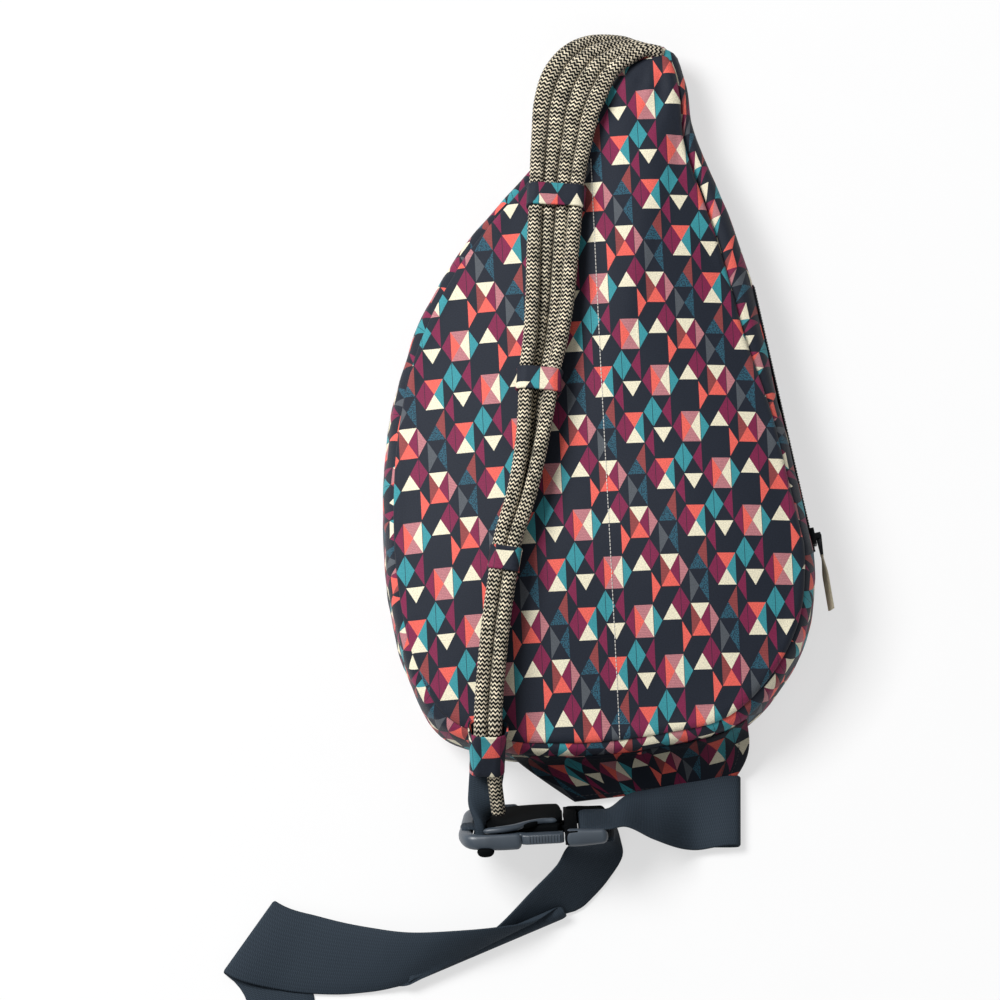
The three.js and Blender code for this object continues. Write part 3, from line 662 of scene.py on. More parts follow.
@dataclass(frozen=True)
class PrintedFabric:
    """Plain-woven polyester with a print of triangles in hexagons on a near-black ground."""

    name: str = "printed_fabric"
    edge: float = 13.2 * MM
    gap: float = 0.35 * MM
    tilt_degrees: float = 2.8
    row_step: int = 5
    # Painted shade: the print's colour, gloss and sheen are multiplied by this, 1 where there is none.
    shade: float = 1.0
    start: tuple[float, float] = (4 * MM, 7 * MM)
    thread: float = 0.55 * MM
    stripe: float = 1.1 * MM
    stripe_depth: float = 0.3
    dot: float = 1.6
    dot_level: float = 0.52
    dot_cover: float = 0.85
    tones: tuple[float, float, float] = (0.6, 0.26, 0.54)
    weave_depth: float = 0.12 * MM
    roughness: float = 0.62
    roughness_spread: float = 0.2
    specular: float = 0.25
    sheen: float = 0.03

    def hexagon(self, x: Field, y: Field) -> tuple[Field, Field, Field, Field]:
        """Finds the hexagon of the print at a place.

        Args:
            x: Place across, in edges.
            y: Place up, in edges.

        Returns:
            Column, row, and the place in the hexagon across and up, in edges.
        """
        a, c = x * (2 / 3), y * (1 / math.sqrt(3)) - x * (1 / 3)
        b = -1 * a - c
        near = [value.rounded() for value in (a, b, c)]
        off = [abs(n - value) for n, value in zip(near, (a, b, c))]
        first = (off[0] > off[1]) * (off[0] > off[2])
        third = (1 - first) * (1 - (off[1] > off[2]))
        column = near[0] + first * (-1 * near[1] - near[2] - near[0])
        row = near[2] + third * (-1 * near[0] - near[1] - near[2])
        return column, row, x - column * 1.5, y - (row + column * 0.5) * math.sqrt(3)

    def build(self) -> Material:
        """Makes the material.

        Returns:
            The material.
        """
        shader = Shader(self.name)
        across, along = shader.cloth_place()
        turn = math.radians(self.tilt_degrees)
        left, low = across - self.start[0], along - self.start[1]
        x = (left * math.cos(turn) + low * math.sin(turn)) / self.edge
        y = (low * math.cos(turn) - left * math.sin(turn)) / self.edge
        column, row, dx, dy = self.hexagon(x, y)
        high = math.sqrt(3)
        upright = abs(dy) > abs(dx) * high
        piece = upright * (-1 * dy > 0.0) + (1 - upright) * ((dx > 0.0) * 2 + (abs(dx) > 0.5) + 2)
        line = self.gap / self.edge
        inside = 1 - (abs(dy).larger(abs(dx) * (high / 2) + abs(dy) * 0.5) > high / 2 - line)
        inside = inside * (1 - (1 - upright) * (1 - (abs(abs(dx) - 0.5) > line / 2)))
        triangle = (column + row * self.row_step) % len(HEXAGONS) * 6 + piece
        inks = {ink.value[0]: (*linear(ink.value[1])[:3], ink.value[2]) for ink in Ink}
        colours = [inks[letter] for hexagon in HEXAGONS for letter in hexagon]
        half = len(colours) // 2
        share = (triangle % half + 0.5) / half
        lower, upper = (shader.lookup(share, part) for part in (colours[:half], colours[half:]))
        is_upper = triangle > half - 0.5
        ink = shader.mixed(is_upper, lower.outputs[0], upper.outputs[0])
        weave = Field(shader.tree, lower.outputs[1])
        weave = weave + is_upper * (Field(shader.tree, upper.outputs[1]) - weave)
        place = shader.vector(across, along)
        speck = shader.grain(place, self.thread, 1.0)
        dots = shader.grain(place, self.dot * self.thread, 0.0)
        lines = (y * (2 * math.pi * self.edge / self.stripe)).sine() * 0.5 + 0.5
        striped = (abs(weave - 0.5) > 0.25) * -1 + 1
        stippled = (1 - weave - 0.75).limited() * 4
        shown = inside * (1 - stippled * (dots > self.dot_level) * self.dot_cover)
        cloth = shader.mixed(shown, linear(Ink.GROUND.value[1]), ink)
        base, specks, clouds = self.tones
        stripes = 1 - striped * lines * self.stripe_depth
        # The tone is multiplied by the painted shade, which darkens the whole print.
        tone = (base + speck * specks + dots * clouds) * stripes * self.shade
        threads = 2 * math.pi / self.thread
        warp = (across * threads).sine() * (along * threads).sine()
        height = warp * 0.25 + 0.5 + (speck - 0.5) * 0.5
        return shader.finish(
            base_color=shader.shaded(cloth, tone),
            roughness=self.roughness + (speck - 0.5) * self.roughness_spread,
            normal=shader.bump(height, self.weave_depth),
            specular_ior_level=self.specular * self.shade,
            sheen_weight=self.sheen * self.shade)


@dataclass(frozen=True)
class BraidedRope:
    """Two-coloured braid whose yarns run round the rope in zigzag rows."""

    name: str = "braided_rope"
    pale: tuple[int, int, int] = (240, 228, 202)
    dark: tuple[int, int, int] = (18, 17, 15)
    pitch: float = 3.1 * MM
    zigzags: int = 10
    swing: float = 0.55
    pale_share: float = -0.42
    fibre: float = 0.5 * MM
    # Size of the pale spots, which fray the two colours and also paint highlights along the ropes.
    tuft_and_highlight: float = 5 * MM
    fray: tuple[float, float] = (0.9, 1.2)
    contrast: float = 2.6
    tones: tuple[float, float, float] = (0.15, 0.4, 1.05)
    fuzz: float = 0.25 * MM

    def build(self) -> Material:
        """Makes the material.

        Returns:
            The material.
        """
        shader = Shader(self.name)
        around, along = shader.cloth_place()
        turns = around * self.zigzags
        swing = abs(turns % 1.0 - 0.5) * (2 * self.swing)
        wave = ((along / self.pitch + swing) * (2 * math.pi)).sine()
        place = shader.object_place()
        fibre = shader.grain(place, self.fibre)
        tuft_and_highlight = shader.grain(place, self.tuft_and_highlight, 1.0)
        frayed = (fibre - 0.5) * self.fray[0] + (tuft_and_highlight - 0.5) * self.fray[1]
        pale = ((wave + self.pale_share + frayed) * self.contrast + 0.5).limited()
        yarn = shader.mixed(pale, linear(self.dark), linear(self.pale))
        # The third tone brightens spots of yarn as painted highlights; the second varies it with the fibres
        # at random.
        base, fibres, painted_highlight = self.tones
        return shader.finish(
            base_color=shader.shaded(yarn, base + fibre * fibres + tuft_and_highlight * painted_highlight), roughness=0.92,
            normal=shader.bump(fibre, self.fuzz), specular_ior_level=0.2, sheen_weight=0.08)


@dataclass(frozen=True)
class RibbedWebbing:
    """Flat woven strap with fine cross ribs whose floats are staggered."""

    name: str
    colour: tuple[int, int, int]
    rib: float = 1.3 * MM
    column: float = 2.4 * MM
    depth: float = 0.22 * MM
    fibre: float = 0.4 * MM
    # Tones at the bottom and at the top of a rib: painted shade in the grooves, painted highlight on the
    # crests.
    tones: tuple[float, float] = (0.72, 1.12)
    roughness: float = 0.66
    specular: float = 0.12

    def build(self) -> Material:
        """Makes the material.

        Returns:
            The material.
        """
        shader = Shader(self.name)
        across, along = shader.cloth_place()
        stagger = (across / self.column).floor() % 2 * math.pi
        ribs = (along * (2 * math.pi / self.rib) + stagger).sine() * 0.5 + 0.5
        cords = (across * (2 * math.pi / self.column)).sine() * 0.5 + 0.5
        fibre = shader.grain(shader.vector(across, along), self.fibre)
        height = ribs * 0.65 + cords * 0.15 + fibre * 0.2
        # The colour follows the rib height: painted shade in the grooves and painted highlight on the
        # crests.
        return shader.finish(
            base_color=shader.toned(height, self.colour, self.tones),
            roughness=self.roughness + fibre * 0.12,
            normal=shader.bump(height, self.depth), specular_ior_level=self.specular)


@dataclass(frozen=True)
class Moulded:
    """Moulded plastic or lacquered metal with a fine grain and a slightly uneven gloss."""

    name: str
    colour: tuple[int, int, int]
    roughness: float
    grain: float = 0.35 * MM
    patch: float = 14 * MM
    tones: tuple[float, float] = (0.9, 1.1)
    metallic: float = 0.0
    shine: float = 0.5

    def build(self) -> Material:
        """Makes the material.

        Returns:
            The material.
        """
        shader = Shader(self.name)
        place = shader.object_place()
        fine, broad = shader.grain(place, self.grain), shader.grain(place, self.patch)
        return shader.finish(
            base_color=shader.toned(broad, self.colour, self.tones),
            roughness=self.roughness - 0.06 + fine * 0.08 + broad * 0.06,
            normal=shader.bump(fine, 0.03 * MM), metallic=self.metallic, specular_ior_level=self.shine)


@dataclass(frozen=True)
class Thread:
    """Twisted sewing thread."""

    name: str
    colour: tuple[int, int, int]
    fibre: float = 0.3 * MM
    tones: tuple[float, float] = (0.82, 1.0)

    def build(self) -> Material:
        """Makes the material.

        Returns:
            The material.
        """
        shader = Shader(self.name)
        fibre = shader.grain(shader.object_place(), self.fibre)
        base = shader.toned(fibre, self.colour, self.tones)
        return shader.finish(base_color=base, roughness=0.7, normal=shader.bump(fibre, 0.05 * MM))


@dataclass(frozen=True)
class Finishes:
    """Every finish of the bag, made once."""

    fabric: Material
    shaded_fabric: Material
    rope: Material
    webbing: Material
    tape: Material
    ribbon: Material
    plastic: Material
    matte_plastic: Material
    metal: Material
    coil: Material
    pale_thread: Material
    dark_thread: Material

    @classmethod
    def made(cls) -> "Finishes":
        """Builds them all.

        Returns:
            The finishes.
        """
        return cls(
            fabric=PrintedFabric().build(),
            # A copy of the print darkened as painted shade, for the wing that lies in the bag's shadow.
            shaded_fabric=PrintedFabric("printed_fabric_shaded", shade=0.52).build(),
            rope=BraidedRope().build(),
            webbing=RibbedWebbing("black_webbing", (50, 60, 70)).build(),
            tape=RibbedWebbing("zip_tape", (32, 34, 40), rib=0.9 * MM, column=1.2 * MM,
                               depth=0.1 * MM).build(),
            ribbon=RibbedWebbing("pale_ribbon", (226, 215, 186), rib=0.9 * MM, column=20 * MM,
                                 depth=0.15 * MM).build(),
            # The satin plastic has the buckle's own colour. Its rougher near-black copy paints the shade on
            # the parts that face away from the light.
            plastic=Moulded("buckle_plastic", (61, 71, 81), 0.38, shine=0.8).build(),
            matte_plastic=Moulded("buckle_matte_plastic", (7, 9, 11), 0.75, shine=0.05).build(),
            metal=Moulded("zip_metal", (40, 42, 46), 0.36, metallic=0.7).build(),
            coil=Moulded("zip_coil", (36, 38, 43), 0.45).build(),
            pale_thread=Thread("pale_thread", (236, 232, 224)).build(),
            dark_thread=Thread("dark_thread", (30, 32, 38)).build(),
        )


# Rows of small shapes


class ShapeRow:
    """A Geometry Nodes tree that repeats one small shape along a line."""

    INPUTS = (("Spacing", "NodeSocketFloat"), ("Shape", "NodeSocketObject"), ("Follow", "NodeSocketFloat"),
              ("Finish", "NodeSocketMaterial"))

    def __init__(self) -> None:
        """Builds the tree."""
        self.tree = bpy.data.node_groups.new("shape_row", "GeometryNodeTree")
        face = self.tree.interface
        face.new_socket("Geometry", in_out="INPUT", socket_type="NodeSocketGeometry")
        self.keys = {name: face.new_socket(name, in_out="INPUT", socket_type=kind).identifier
                     for name, kind in self.INPUTS}
        face.new_socket("Geometry", in_out="OUTPUT", socket_type="NodeSocketGeometry")
        given = self.tree.nodes.new("NodeGroupInput")
        curve = self.add("GeometryNodeMeshToCurve", {"Mesh": given.outputs["Geometry"]})
        points = self.add("GeometryNodeResampleCurve", {
            "Curve": curve.outputs[0], "Length": given.outputs["Spacing"]}, mode="LENGTH")
        turned = self.add("FunctionNodeAlignRotationToVector", {
            "Vector": self.add("GeometryNodeInputTangent", {}).outputs[0],
            "Factor": given.outputs["Follow"]}, axis="X")
        shape = self.add("GeometryNodeObjectInfo", {
            "Object": given.outputs["Shape"], "As Instance": True}, transform_space="ORIGINAL")
        copies = self.add("GeometryNodeInstanceOnPoints", {
            "Points": points.outputs[0], "Instance": shape.outputs["Geometry"],
            "Rotation": turned.outputs[0]})
        real = self.add("GeometryNodeRealizeInstances", {"Geometry": copies.outputs[0]})
        finish = self.add("GeometryNodeSetMaterial", {
            "Geometry": real.outputs[0], "Material": given.outputs["Finish"]})
        self.add("NodeGroupOutput", {0: finish.outputs[0]})

    def add(self, kind: str, values: dict, **settings: object) -> bpy.types.Node:
        """Adds one node.

        Args:
            kind: The node's type.
            values: Values or links of its sockets.
            settings: Its own settings, set first.

        Returns:
            The node.
        """
        node = self.tree.nodes.new(kind)
        for key, value in settings.items():
            setattr(node, key, value)
        for key, value in values.items():
            if isinstance(value, bpy.types.NodeSocket):
                self.tree.links.new(value, node.inputs[key])
            else:
                node.inputs[key].default_value = value
        return node

    def along(self, name: str, lines: list[Array], shape: Object, spacing: float, finish: Material,
              follow: bool = True) -> Object:
        """Repeats a shape along lines.

        Args:
            name: Name of the new piece.
            lines: Lines, one point a row.
            shape: The shape, at the origin, its length along X. It stays for other rows.
            spacing: Distance between two copies.
            finish: Material of the copies.
            follow: Whether the copies turn with the line.

        Returns:
            One plain mesh of all the copies.
        """
        mesh = bpy.data.meshes.new(name)
        starts = np.cumsum([0] + [len(line) for line in lines])
        firsts = [start + i for start, line in zip(starts, lines) for i in range(len(line) - 1)]
        mesh.from_pydata(np.vstack(lines).tolist(), [(first, first + 1) for first in firsts], [])
        obj = linked(name, mesh)
        rule = obj.modifiers.new("row", "NODES")
        rule.node_group = self.tree
        rule[self.keys["Spacing"]] = spacing
        rule[self.keys["Shape"]] = shape
        rule[self.keys["Follow"]] = 1.0 if follow else 0.0
        rule[self.keys["Finish"]] = finish
        finished(obj)
        smooth(obj.data)
        return obj


# Steps along a small rounded bar: place along it and width, as shares
BAR_STEPS = ((-0.5, 0.45), (-0.38, 0.9), (0.0, 1.0), (0.38, 0.9), (0.5, 0.45))


def lozenge(name: str, size: Sequence[float], sides: int = 8, turn: Matrix | None = None) -> Object:
    """A small rounded bar, its length along X, to be repeated.

    Args:
        name: The object's name.
        size: Length, width and height.
        sides: Sides of its section.
        turn: Turn of the finished bar, where it has one.

    Returns:
        The bar, at the origin.
    """
    angles = np.linspace(0, 2 * math.pi, sides, endpoint=False) + math.pi / sides
    rings = []
    for place, share in BAR_STEPS:
        ring = np.column_stack([np.full(sides, place * size[0]), np.cos(angles) * size[1] / 2 * share,
                                np.sin(angles) * size[2] / 2 * share])
        rings.append(ring)
    points = np.array(rings)
    bar = skin(name, points, np.zeros((len(rings), sides + 1, 2)))
    if turn is not None:
        bar.data.transform(turn)
    return bar


# Sewn body


OUTLINE_SHARES = (
    (0.503, -0.212), (0.504, -0.245), (0.486, -0.325), (0.42, -0.4), (0.322, -0.457), (0.146, -0.486),
    (-0.089, -0.499), (-0.254, -0.49), (-0.371, -0.457), (-0.441, -0.384), (-0.488, -0.269), (-0.5, -0.149),
    (-0.484, -0.028), (-0.434, 0.089), (-0.336, 0.203), (-0.164, 0.33), (0.016, 0.455), (0.092, 0.497),
    (0.153, 0.497), (0.197, 0.46), (0.22, 0.404), (0.27, 0.322), (0.318, 0.246), (0.357, 0.177),
)


@dataclass
class BagShape:
    """The teardrop that the sewn body follows, with the frame's own sizes."""

    length: float = 505 * MM
    width: float = 300 * MM
    seam_stops: tuple = ((-0.5, 56 * MM), (-0.2, 68 * MM), (0.2, 56 * MM), (0.5, 36 * MM))
    panel_inset: float = 7 * MM
    shoulder_gusset: float = 13 * MM
    shoulder_side: tuple[float, float] = (0.05, 0.2)
    shoulder_start: tuple[float, float] = (-0.05, 0.2)
    shoulder_end: tuple[float, float] = (0.42, 0.5)
    hub_share: float = -0.12
    round_steps: int = 270
    straight_steps: int = 36
    tip: tuple[float, float] = (195 * MM, 246 * MM)
    tip_side: tuple[float, float] = (30 * MM, 60 * MM)
    tip_right: float = 2.5 * MM
    tip_up: float = 3.5 * MM
    hood_place: float = 47 * MM
    hood_reach: float = 11 * MM
    hood_up: float = 5 * MM

    def __post_init__(self) -> None:
        """Draws the outline and finds its place in the frame."""
        shares = np.array(OUTLINE_SHARES) * (self.width, self.length)
        curve = spaced(spline(shares), self.round_steps)
        straight = np.linspace(shares[-1], shares[0], self.straight_steps + 1)[1:-1]
        self.outline = np.vstack([curve, straight])
        self.hub = np.array((0.0, self.hub_share * self.length))
        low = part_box("side_gusset")[0]
        self.place = np.array((low.x - self.outline[:, 0].min(), low.y - self.outline[:, 1].min(), 0.0))
        self.seam = self.drawn_in(self.seam_inset())

    def seam_height(self, y: Array) -> Array:
        """Height of the back panel's seam.

        Args:
            y: Places along the bag.

        Returns:
            One height for each place.
        """
        heights = np.full(np.shape(y), self.seam_stops[0][1])
        for (start, low), (end, high) in zip(self.seam_stops, self.seam_stops[1:]):
            heights = heights + (high - low) * eased(y, start * self.length, end * self.length)
        return heights

    def seam_inset(self) -> Array:
        """How far the seam stands in from the outline.

        Returns:
            One distance for each point of the outline.
        """
        x, y = self.outline[:, 0] / self.width, self.outline[:, 1] / self.length
        upper = eased(y, *self.shoulder_start) * (1 - eased(y, *self.shoulder_end))
        shoulder = eased(x, *self.shoulder_side) * upper
        return self.panel_inset + self.shoulder_gusset * shoulder

    def drawn_in(self, inset: Array | float) -> Array:
        """The outline, drawn in towards the hub.

        Args:
            inset: How far in.

        Returns:
            The new outline.
        """
        away = self.outline - self.hub
        reach = np.linalg.norm(away, axis=1)
        return self.hub + away * (1 - inset / reach)[:, None]

    def tip_lift(self, points: Array) -> Array:
        """How far the cloth of the tip stands out round the ropes' ends.

        Args:
            points: Points of the bag's own drawing.

        Returns:
            A move in x, y and z for each point.
        """
        x, y = points[..., 0], points[..., 1]
        tip = eased(y, *self.tip)
        hood = tip * np.exp(-(((x - self.hood_place) / self.hood_reach) ** 2))
        right = self.tip_right * tip * eased(x, *self.tip_side)
        return np.stack([right, self.tip_up * tip + self.hood_up * hood, np.zeros_like(x)], axis=-1)

    def placed(self, points: Array) -> Array:
        """Points of the part's own drawing, in the frame."""
        return points + self.place


# Rim of the front panel: how far in from its edge and how high, in millimetres
FRONT_RIM = ((6, 0.0), (3, 0.25), (1, 1.0), (0, 2.5), (0.6, 4.2), (3, 5.0))


@dataclass(frozen=True)
class Stitch:
    """One stitch of a row: its length, width and height, and how far apart the stitches are."""

    size: tuple[float, float, float]
    spacing: float


@dataclass
class SewnBody:
    """Back panel, gusset, front panel and bottom wing."""

    shape: BagShape
    finishes: Finishes
    rows: ShapeRow
    crown: float = 24 * MM
    crown_power: float = 2.4
    panel_edge: float = 3 * MM
    padding: float = 10 * MM
    roll: float = 0.968
    broad: Ripples = Ripples(75 * MM, 1.0, 1.3 * MM)
    small: Ripples = Ripples(24 * MM, 2.0, 0.35 * MM)
    pucker: Ripples = Ripples(11 * MM, 3.0, 0.7 * MM)
    sewn_gap: float = 0.3 * MM
    front_thickness: float = 5 * MM
    front_inset: float = 20 * MM
    wall_top: float = 48 * MM
    wall_bottom: float = 18 * MM
    wall: float = 2.5 * MM
    wall_steps: int = 30
    wall_ripples: tuple[Ripples, ...] = (Ripples(34 * MM, 5.0, 1.6 * MM), Ripples(13 * MM, 6.0, 0.5 * MM))
    seam_lip: float = 9 * MM
    gather_place: tuple[float, float] = (36 * MM, 246 * MM)
    gather_start: float = 14 * MM
    gather_reach: float = 46 * MM
    gather_folds: int = 9
    gather_slant: float = 7 * MM
    panel_gather: float = 2.2 * MM
    wall_gather: float = 1.6 * MM
    panel_stitch: Stitch = Stitch((2.1 * MM, 0.75 * MM, 0.6 * MM), 2.7 * MM)
    stitch_line: tuple = ((-4.9 * MM, 172.5 * MM), (0.0, 59.5 * MM), (15.4 * MM, -247 * MM))
    wing_left: float = -60 * MM
    wing_right: float = 103.5 * MM
    wing_tips: tuple = ((-16 * MM, -276 * MM), (93 * MM, -263 * MM))
    wing_heights: tuple[float, float] = (44 * MM, 3.6 * MM)
    wing_droop: float = 0.55
    wing_bulge: float = 6 * MM
    wing_thickness: float = 3 * MM
    wing_grid: tuple[int, int] = (56, 22)
    wing_folds: Ripples = Ripples(26 * MM, 8.0, 0.9 * MM)
    wing_rim: float = 0.7 * MM
    wing_area: float = 0.72
    wing_stitch: Stitch = Stitch((2.3 * MM, 0.55 * MM, 0.5 * MM), 3.2 * MM)

    def panel_top(self, ring: Array, share: float) -> Array:
        """Top of the back panel over a ring of it.

        Args:
            ring: Points, x and y.
            share: Place of the ring from the hub, 0, to the seam, 1.

        Returns:
            Heights.
        """
        rise = self.crown * (1 - share ** self.crown_power)
        return self.shape.seam_height(ring[:, 1]) + self.sewn_gap + self.panel_edge + rise

    def gathers(self, points: Array) -> Array:
        """Folds that run from the ropes' ends over the top of the bag.

        Args:
            points: Points of the bag's own drawing.

        Returns:
            One number for each point, from -1 to 1 before the folds fade.
        """
        away = points[..., :2] - np.array(self.gather_place)
        reach = np.linalg.norm(away, axis=-1)
        fan = np.arctan2(away[..., 1], away[..., 0])
        fade = np.exp(-((reach / self.gather_reach) ** 2)) * eased(reach, 0.0, self.gather_start)
        return np.sin(self.gather_folds * fan + reach / self.gather_slant) * fade

    def sew(self, name: str, lines: list[Array], stitch: Stitch, thread: Material) -> None:
        """Sews rows of stitches.

        Args:
            name: Name of the rows.
            lines: Lines on the cloth, one point a row.
            stitch: The stitch that is repeated.
            thread: Its finish.
        """
        shape = lozenge("stitch_shape", stitch.size, 6)
        run = self.rows.along(name, lines, shape, stitch.spacing, thread)
        bpy.data.objects.remove(shape)
        settle(run, "root", Slot.PRINT)

    def build_back_panel(self) -> Object:
        """The padded panel: a crowned pad with a rolled seam edge and soft wrinkles.

        Returns:
            The panel.
        """
        shape, roll = self.shape, self.roll
        tops = [1.0, 0.998, 0.992, 0.982, roll, 0.95, *np.linspace(0.93, 0.03, 46)]
        unders = [0.03, 0.3, 0.55, 0.75, 0.9, 0.97]
        rings = []
        for share in unders:
            ring = shape.hub + share * (shape.seam - shape.hub)
            lift = (self.crown - self.padding + self.panel_edge) * (1 - share ** self.crown_power)
            rings.append(np.column_stack([ring, shape.seam_height(ring[:, 1]) + self.sewn_gap + lift]))
        for share in tops:
            ring = shape.hub + share * (shape.seam - shape.hub)
            drop = 1 - math.sqrt(1 - min(1.0, max(0.0, (share - roll) / (1 - roll))) ** 2)
            rings.append(np.column_stack([ring, self.panel_top(ring, share) - drop * self.panel_edge]))
        points = np.array(rings)
        top = points[len(unders):]
        shares, flat = np.array(tops)[:, None], top * (1, 1, 0)
        inner = eased(1 - shares, 0.0, 0.06)
        rim = eased(shares, 0.86, 0.985) * (1 - eased(shares, 0.99, 1.0))
        waves = self.broad.at(flat) - self.broad.height + self.small.at(flat)
        top[..., 2] += inner * waves + rim * self.pucker.at(flat)
        top[..., 2] += self.gathers(top) * self.panel_gather * inner
        points += shape.tip_lift(points)
        panel = skin("back_panel_padded", shape.placed(points), level_uv(points))
        dress(panel, self.finishes.fabric)
        return settle(panel, "root", Slot.PRINT, "back_panel")

    def build_panel_stitches(self, panel: Object) -> None:
        """The pale run of stitches down the panel.

        Args:
            panel: The padded panel.
        """
        faces = [list(face.vertices) for face in panel.data.polygons]
        cloth = BVHTree.FromPolygons([vertex.co for vertex in panel.data.vertices], faces)
        flat = spaced(spline(np.array(self.stitch_line)), 200)
        line = []
        for point in self.shape.placed(np.column_stack([flat, np.full(len(flat), 0.3)])):
            hit = cloth.ray_cast(Vector(point), Vector((0, 0, -1)))[0]
            if hit is not None:
                line.append(hit + Vector((0, 0, 0.2 * MM)))
        self.sew("panel_stitches", [np.array(line)], self.panel_stitch, self.finishes.pale_thread)

    def gusset_profile(self, inset: float, top: float) -> Array:
        """Section of the gusset.

        Args:
            inset: How far in the seam stands.
            top: The seam's height.

        Returns:
            Closed loop of how far in and how high, from the seam over the outside and back inside.
        """
        low = self.front_thickness + self.sewn_gap
        wall_top = min(self.wall_top, top - 2 * self.wall)
        wall_low = min(self.wall_bottom, wall_top - self.wall)
        knots = np.array([
            (inset + self.seam_lip, top), (inset + 0.5 * MM, top),
            (0.35 * inset, top - 0.35 * (top - wall_top)), (0.0, wall_top - 3 * MM),
            (-0.3 * MM, (wall_top + wall_low) / 2), (0.0, wall_low + 2 * MM),
            (0.3 * self.front_inset, low + 0.3 * (wall_low - low)), (self.front_inset, low),
            (self.front_inset + self.seam_lip, low),
        ])
        outer = spaced(spline(knots, 8), self.wall_steps)
        inner = outer[::-1]
        centre = np.array((inset + 30 * MM, (top + low) / 2))
        inner = inner + unit(centre - inner) * self.wall
        return np.vstack([outer, inner])

    def build_gusset(self) -> None:
        """The side strip: one closed wall all round the bag, with sewing puckers."""
        shape = self.shape
        insets, tops = shape.seam_inset(), shape.seam_height(shape.outline[:, 1])
        away = unit(shape.outline - shape.hub)
        sections = []
        for p, out, inset, top in zip(shape.outline, away, insets, tops):
            profile = self.gusset_profile(inset, top)
            sections.append(np.column_stack([p - out * profile[:, :1], profile[:, 1]]))
        points = np.array(sections).transpose(1, 0, 2)
        along = distances(np.vstack([shape.outline, shape.outline[:1]]))
        profile = distances(np.vstack([points[:, 0], points[:1, 0]]))
        uv = grid_uv(along, -profile)
        depth = np.zeros(len(points))
        depth[2:self.wall_steps - 2] = np.sin(np.linspace(0, math.pi, self.wall_steps - 4)) ** 0.5
        swell = self.gathers(points) * self.wall_gather
        swell += sum(wave.at(points) for wave in self.wall_ripples)
        points[..., :2] += away * (swell * depth[:, None])[..., None]
        points += shape.tip_lift(points)
        gusset = skin("side_gusset_cloth", shape.placed(points), uv, wrap_rows=True)
        dress(gusset, self.finishes.fabric)
        settle(gusset, "root", Slot.PRINT, "side_gusset")

    def build_front_panel(self) -> None:
        """The front panel that the bag lies on: a flat pad with a rounded rim."""
        rings = []
        for inset, height in FRONT_RIM:
            ring = self.shape.drawn_in(self.front_inset + inset * MM)
            rings.append(np.column_stack([ring, np.full(len(ring), height * MM)]))
        points = np.array(rings)
        panel = skin("front_panel_cloth", self.shape.placed(points), level_uv(points))
        dress(panel, self.finishes.fabric)
        settle(panel, "root", Slot.PRINT, "front_panel")

    def wing_surface(self, columns: int, rows: int) -> Array:
        """Underside of the wing, from its seam on the gusset down to its tip.

        Args:
            columns: Points along the seam.
            rows: Points from the seam to the tip.

        Returns:
            Rows, columns and x, y, z.
        """
        lower = self.shape.outline[self.shape.outline[:, 1] < self.shape.hub[1]]
        lower = lower[np.argsort(lower[:, 0])]
        x = np.linspace(self.wing_left, self.wing_right, columns)
        root = np.column_stack([x, np.interp(x, lower[:, 0], lower[:, 1]) - self.sewn_gap])
        along = np.linspace(0, 1, columns)[:, None]
        tip = (1 - along) * np.array(self.wing_tips[0]) + along * np.array(self.wing_tips[1])
        high, low = self.wing_heights
        sheet = []
        for share in np.linspace(0, 1, rows):
            z = high + (low - high) * share ** self.wing_droop
            flat = root + share * (tip - root)
            flat[:, 0] += self.wing_bulge * math.sin(math.pi * share) * along[:, 0] ** 8
            sheet.append(np.column_stack([flat, np.full(columns, z)]))
        return np.array(sheet)

    def build_wing(self) -> None:
        """The double flap under the lower edge, with rounded rims and three rows of stitches."""
        columns, rows = self.wing_grid
        under = self.wing_surface(columns, rows)
        over = under + (0, 0, self.wing_thickness)
        over[..., 2] += self.wing_folds.at(over) * np.linspace(0, 1, rows)[:, None]
        rim = (under[:, [0, -1]] + over[:, [0, -1]]) / 2
        rim[..., 0] += (-self.wing_rim, self.wing_rim)
        loops = np.concatenate([under, rim[:, 1:], over[:, ::-1], rim[:, :1]], axis=1)
        across = distances(under[0])
        flat = np.concatenate([across, across[-1:], across[::-1], across[:1], across[:1]])
        down = distances(under[:, columns // 2])
        uv = grid_uv(flat, -down)
        wing = skin("bottom_wing_cloth", self.shape.placed(loops), uv)
        # The wing wears the print darkened by painted shade, for the shadow of the bag above it.
        dress(wing, self.finishes.shaded_fabric)
        size = (across[-1], down[-1])
        self.wing_area * size[0] * size[1]
        settle(wing, "root", Slot.PRINT, "bottom_wing")
        top = self.shape.placed(over + (0, 0, 0.1 * MM))
        lines = [top[2:, -3], top[2:, -6], top[-3, 3:-3]]
        self.sew("wing_stitches", lines, self.wing_stitch, self.finishes.dark_thread)


# Place of the buckle


@dataclass
class BuckleFrame:
    """Place of the buckle: x from the socket to the plug, y along its bars, z off its lower face."""

    shape: BagShape
    place: tuple[float, float] = (-54.6 * MM, -300.3 * MM)
    turn_degrees: float = 3.0
    tilt_degrees: float = 118.0
    half_width: float = 31 * MM
    half_thickness: float = 6 * MM
    floor_gap: float = 0.5 * MM

    def __post_init__(self) -> None:
        """Works out the buckle's axes and origin."""
        tilt, turn = math.radians(self.tilt_degrees), math.radians(self.turn_degrees)
        reach = self.half_width * math.sin(tilt) + self.half_thickness * abs(math.cos(tilt))
        self.axes = np.array(Matrix.Rotation(turn, 3, "Z") @ Matrix.Rotation(tilt, 3, "X"))
        self.origin = self.shape.placed(np.array((*self.place, self.floor_gap + reach)))

    def local(self, points: Array | Sequence) -> Array:
        """Points of the buckle's own drawing, in the frame."""
        return self.origin + np.asarray(points) @ self.axes.T


# Strap of four ropes


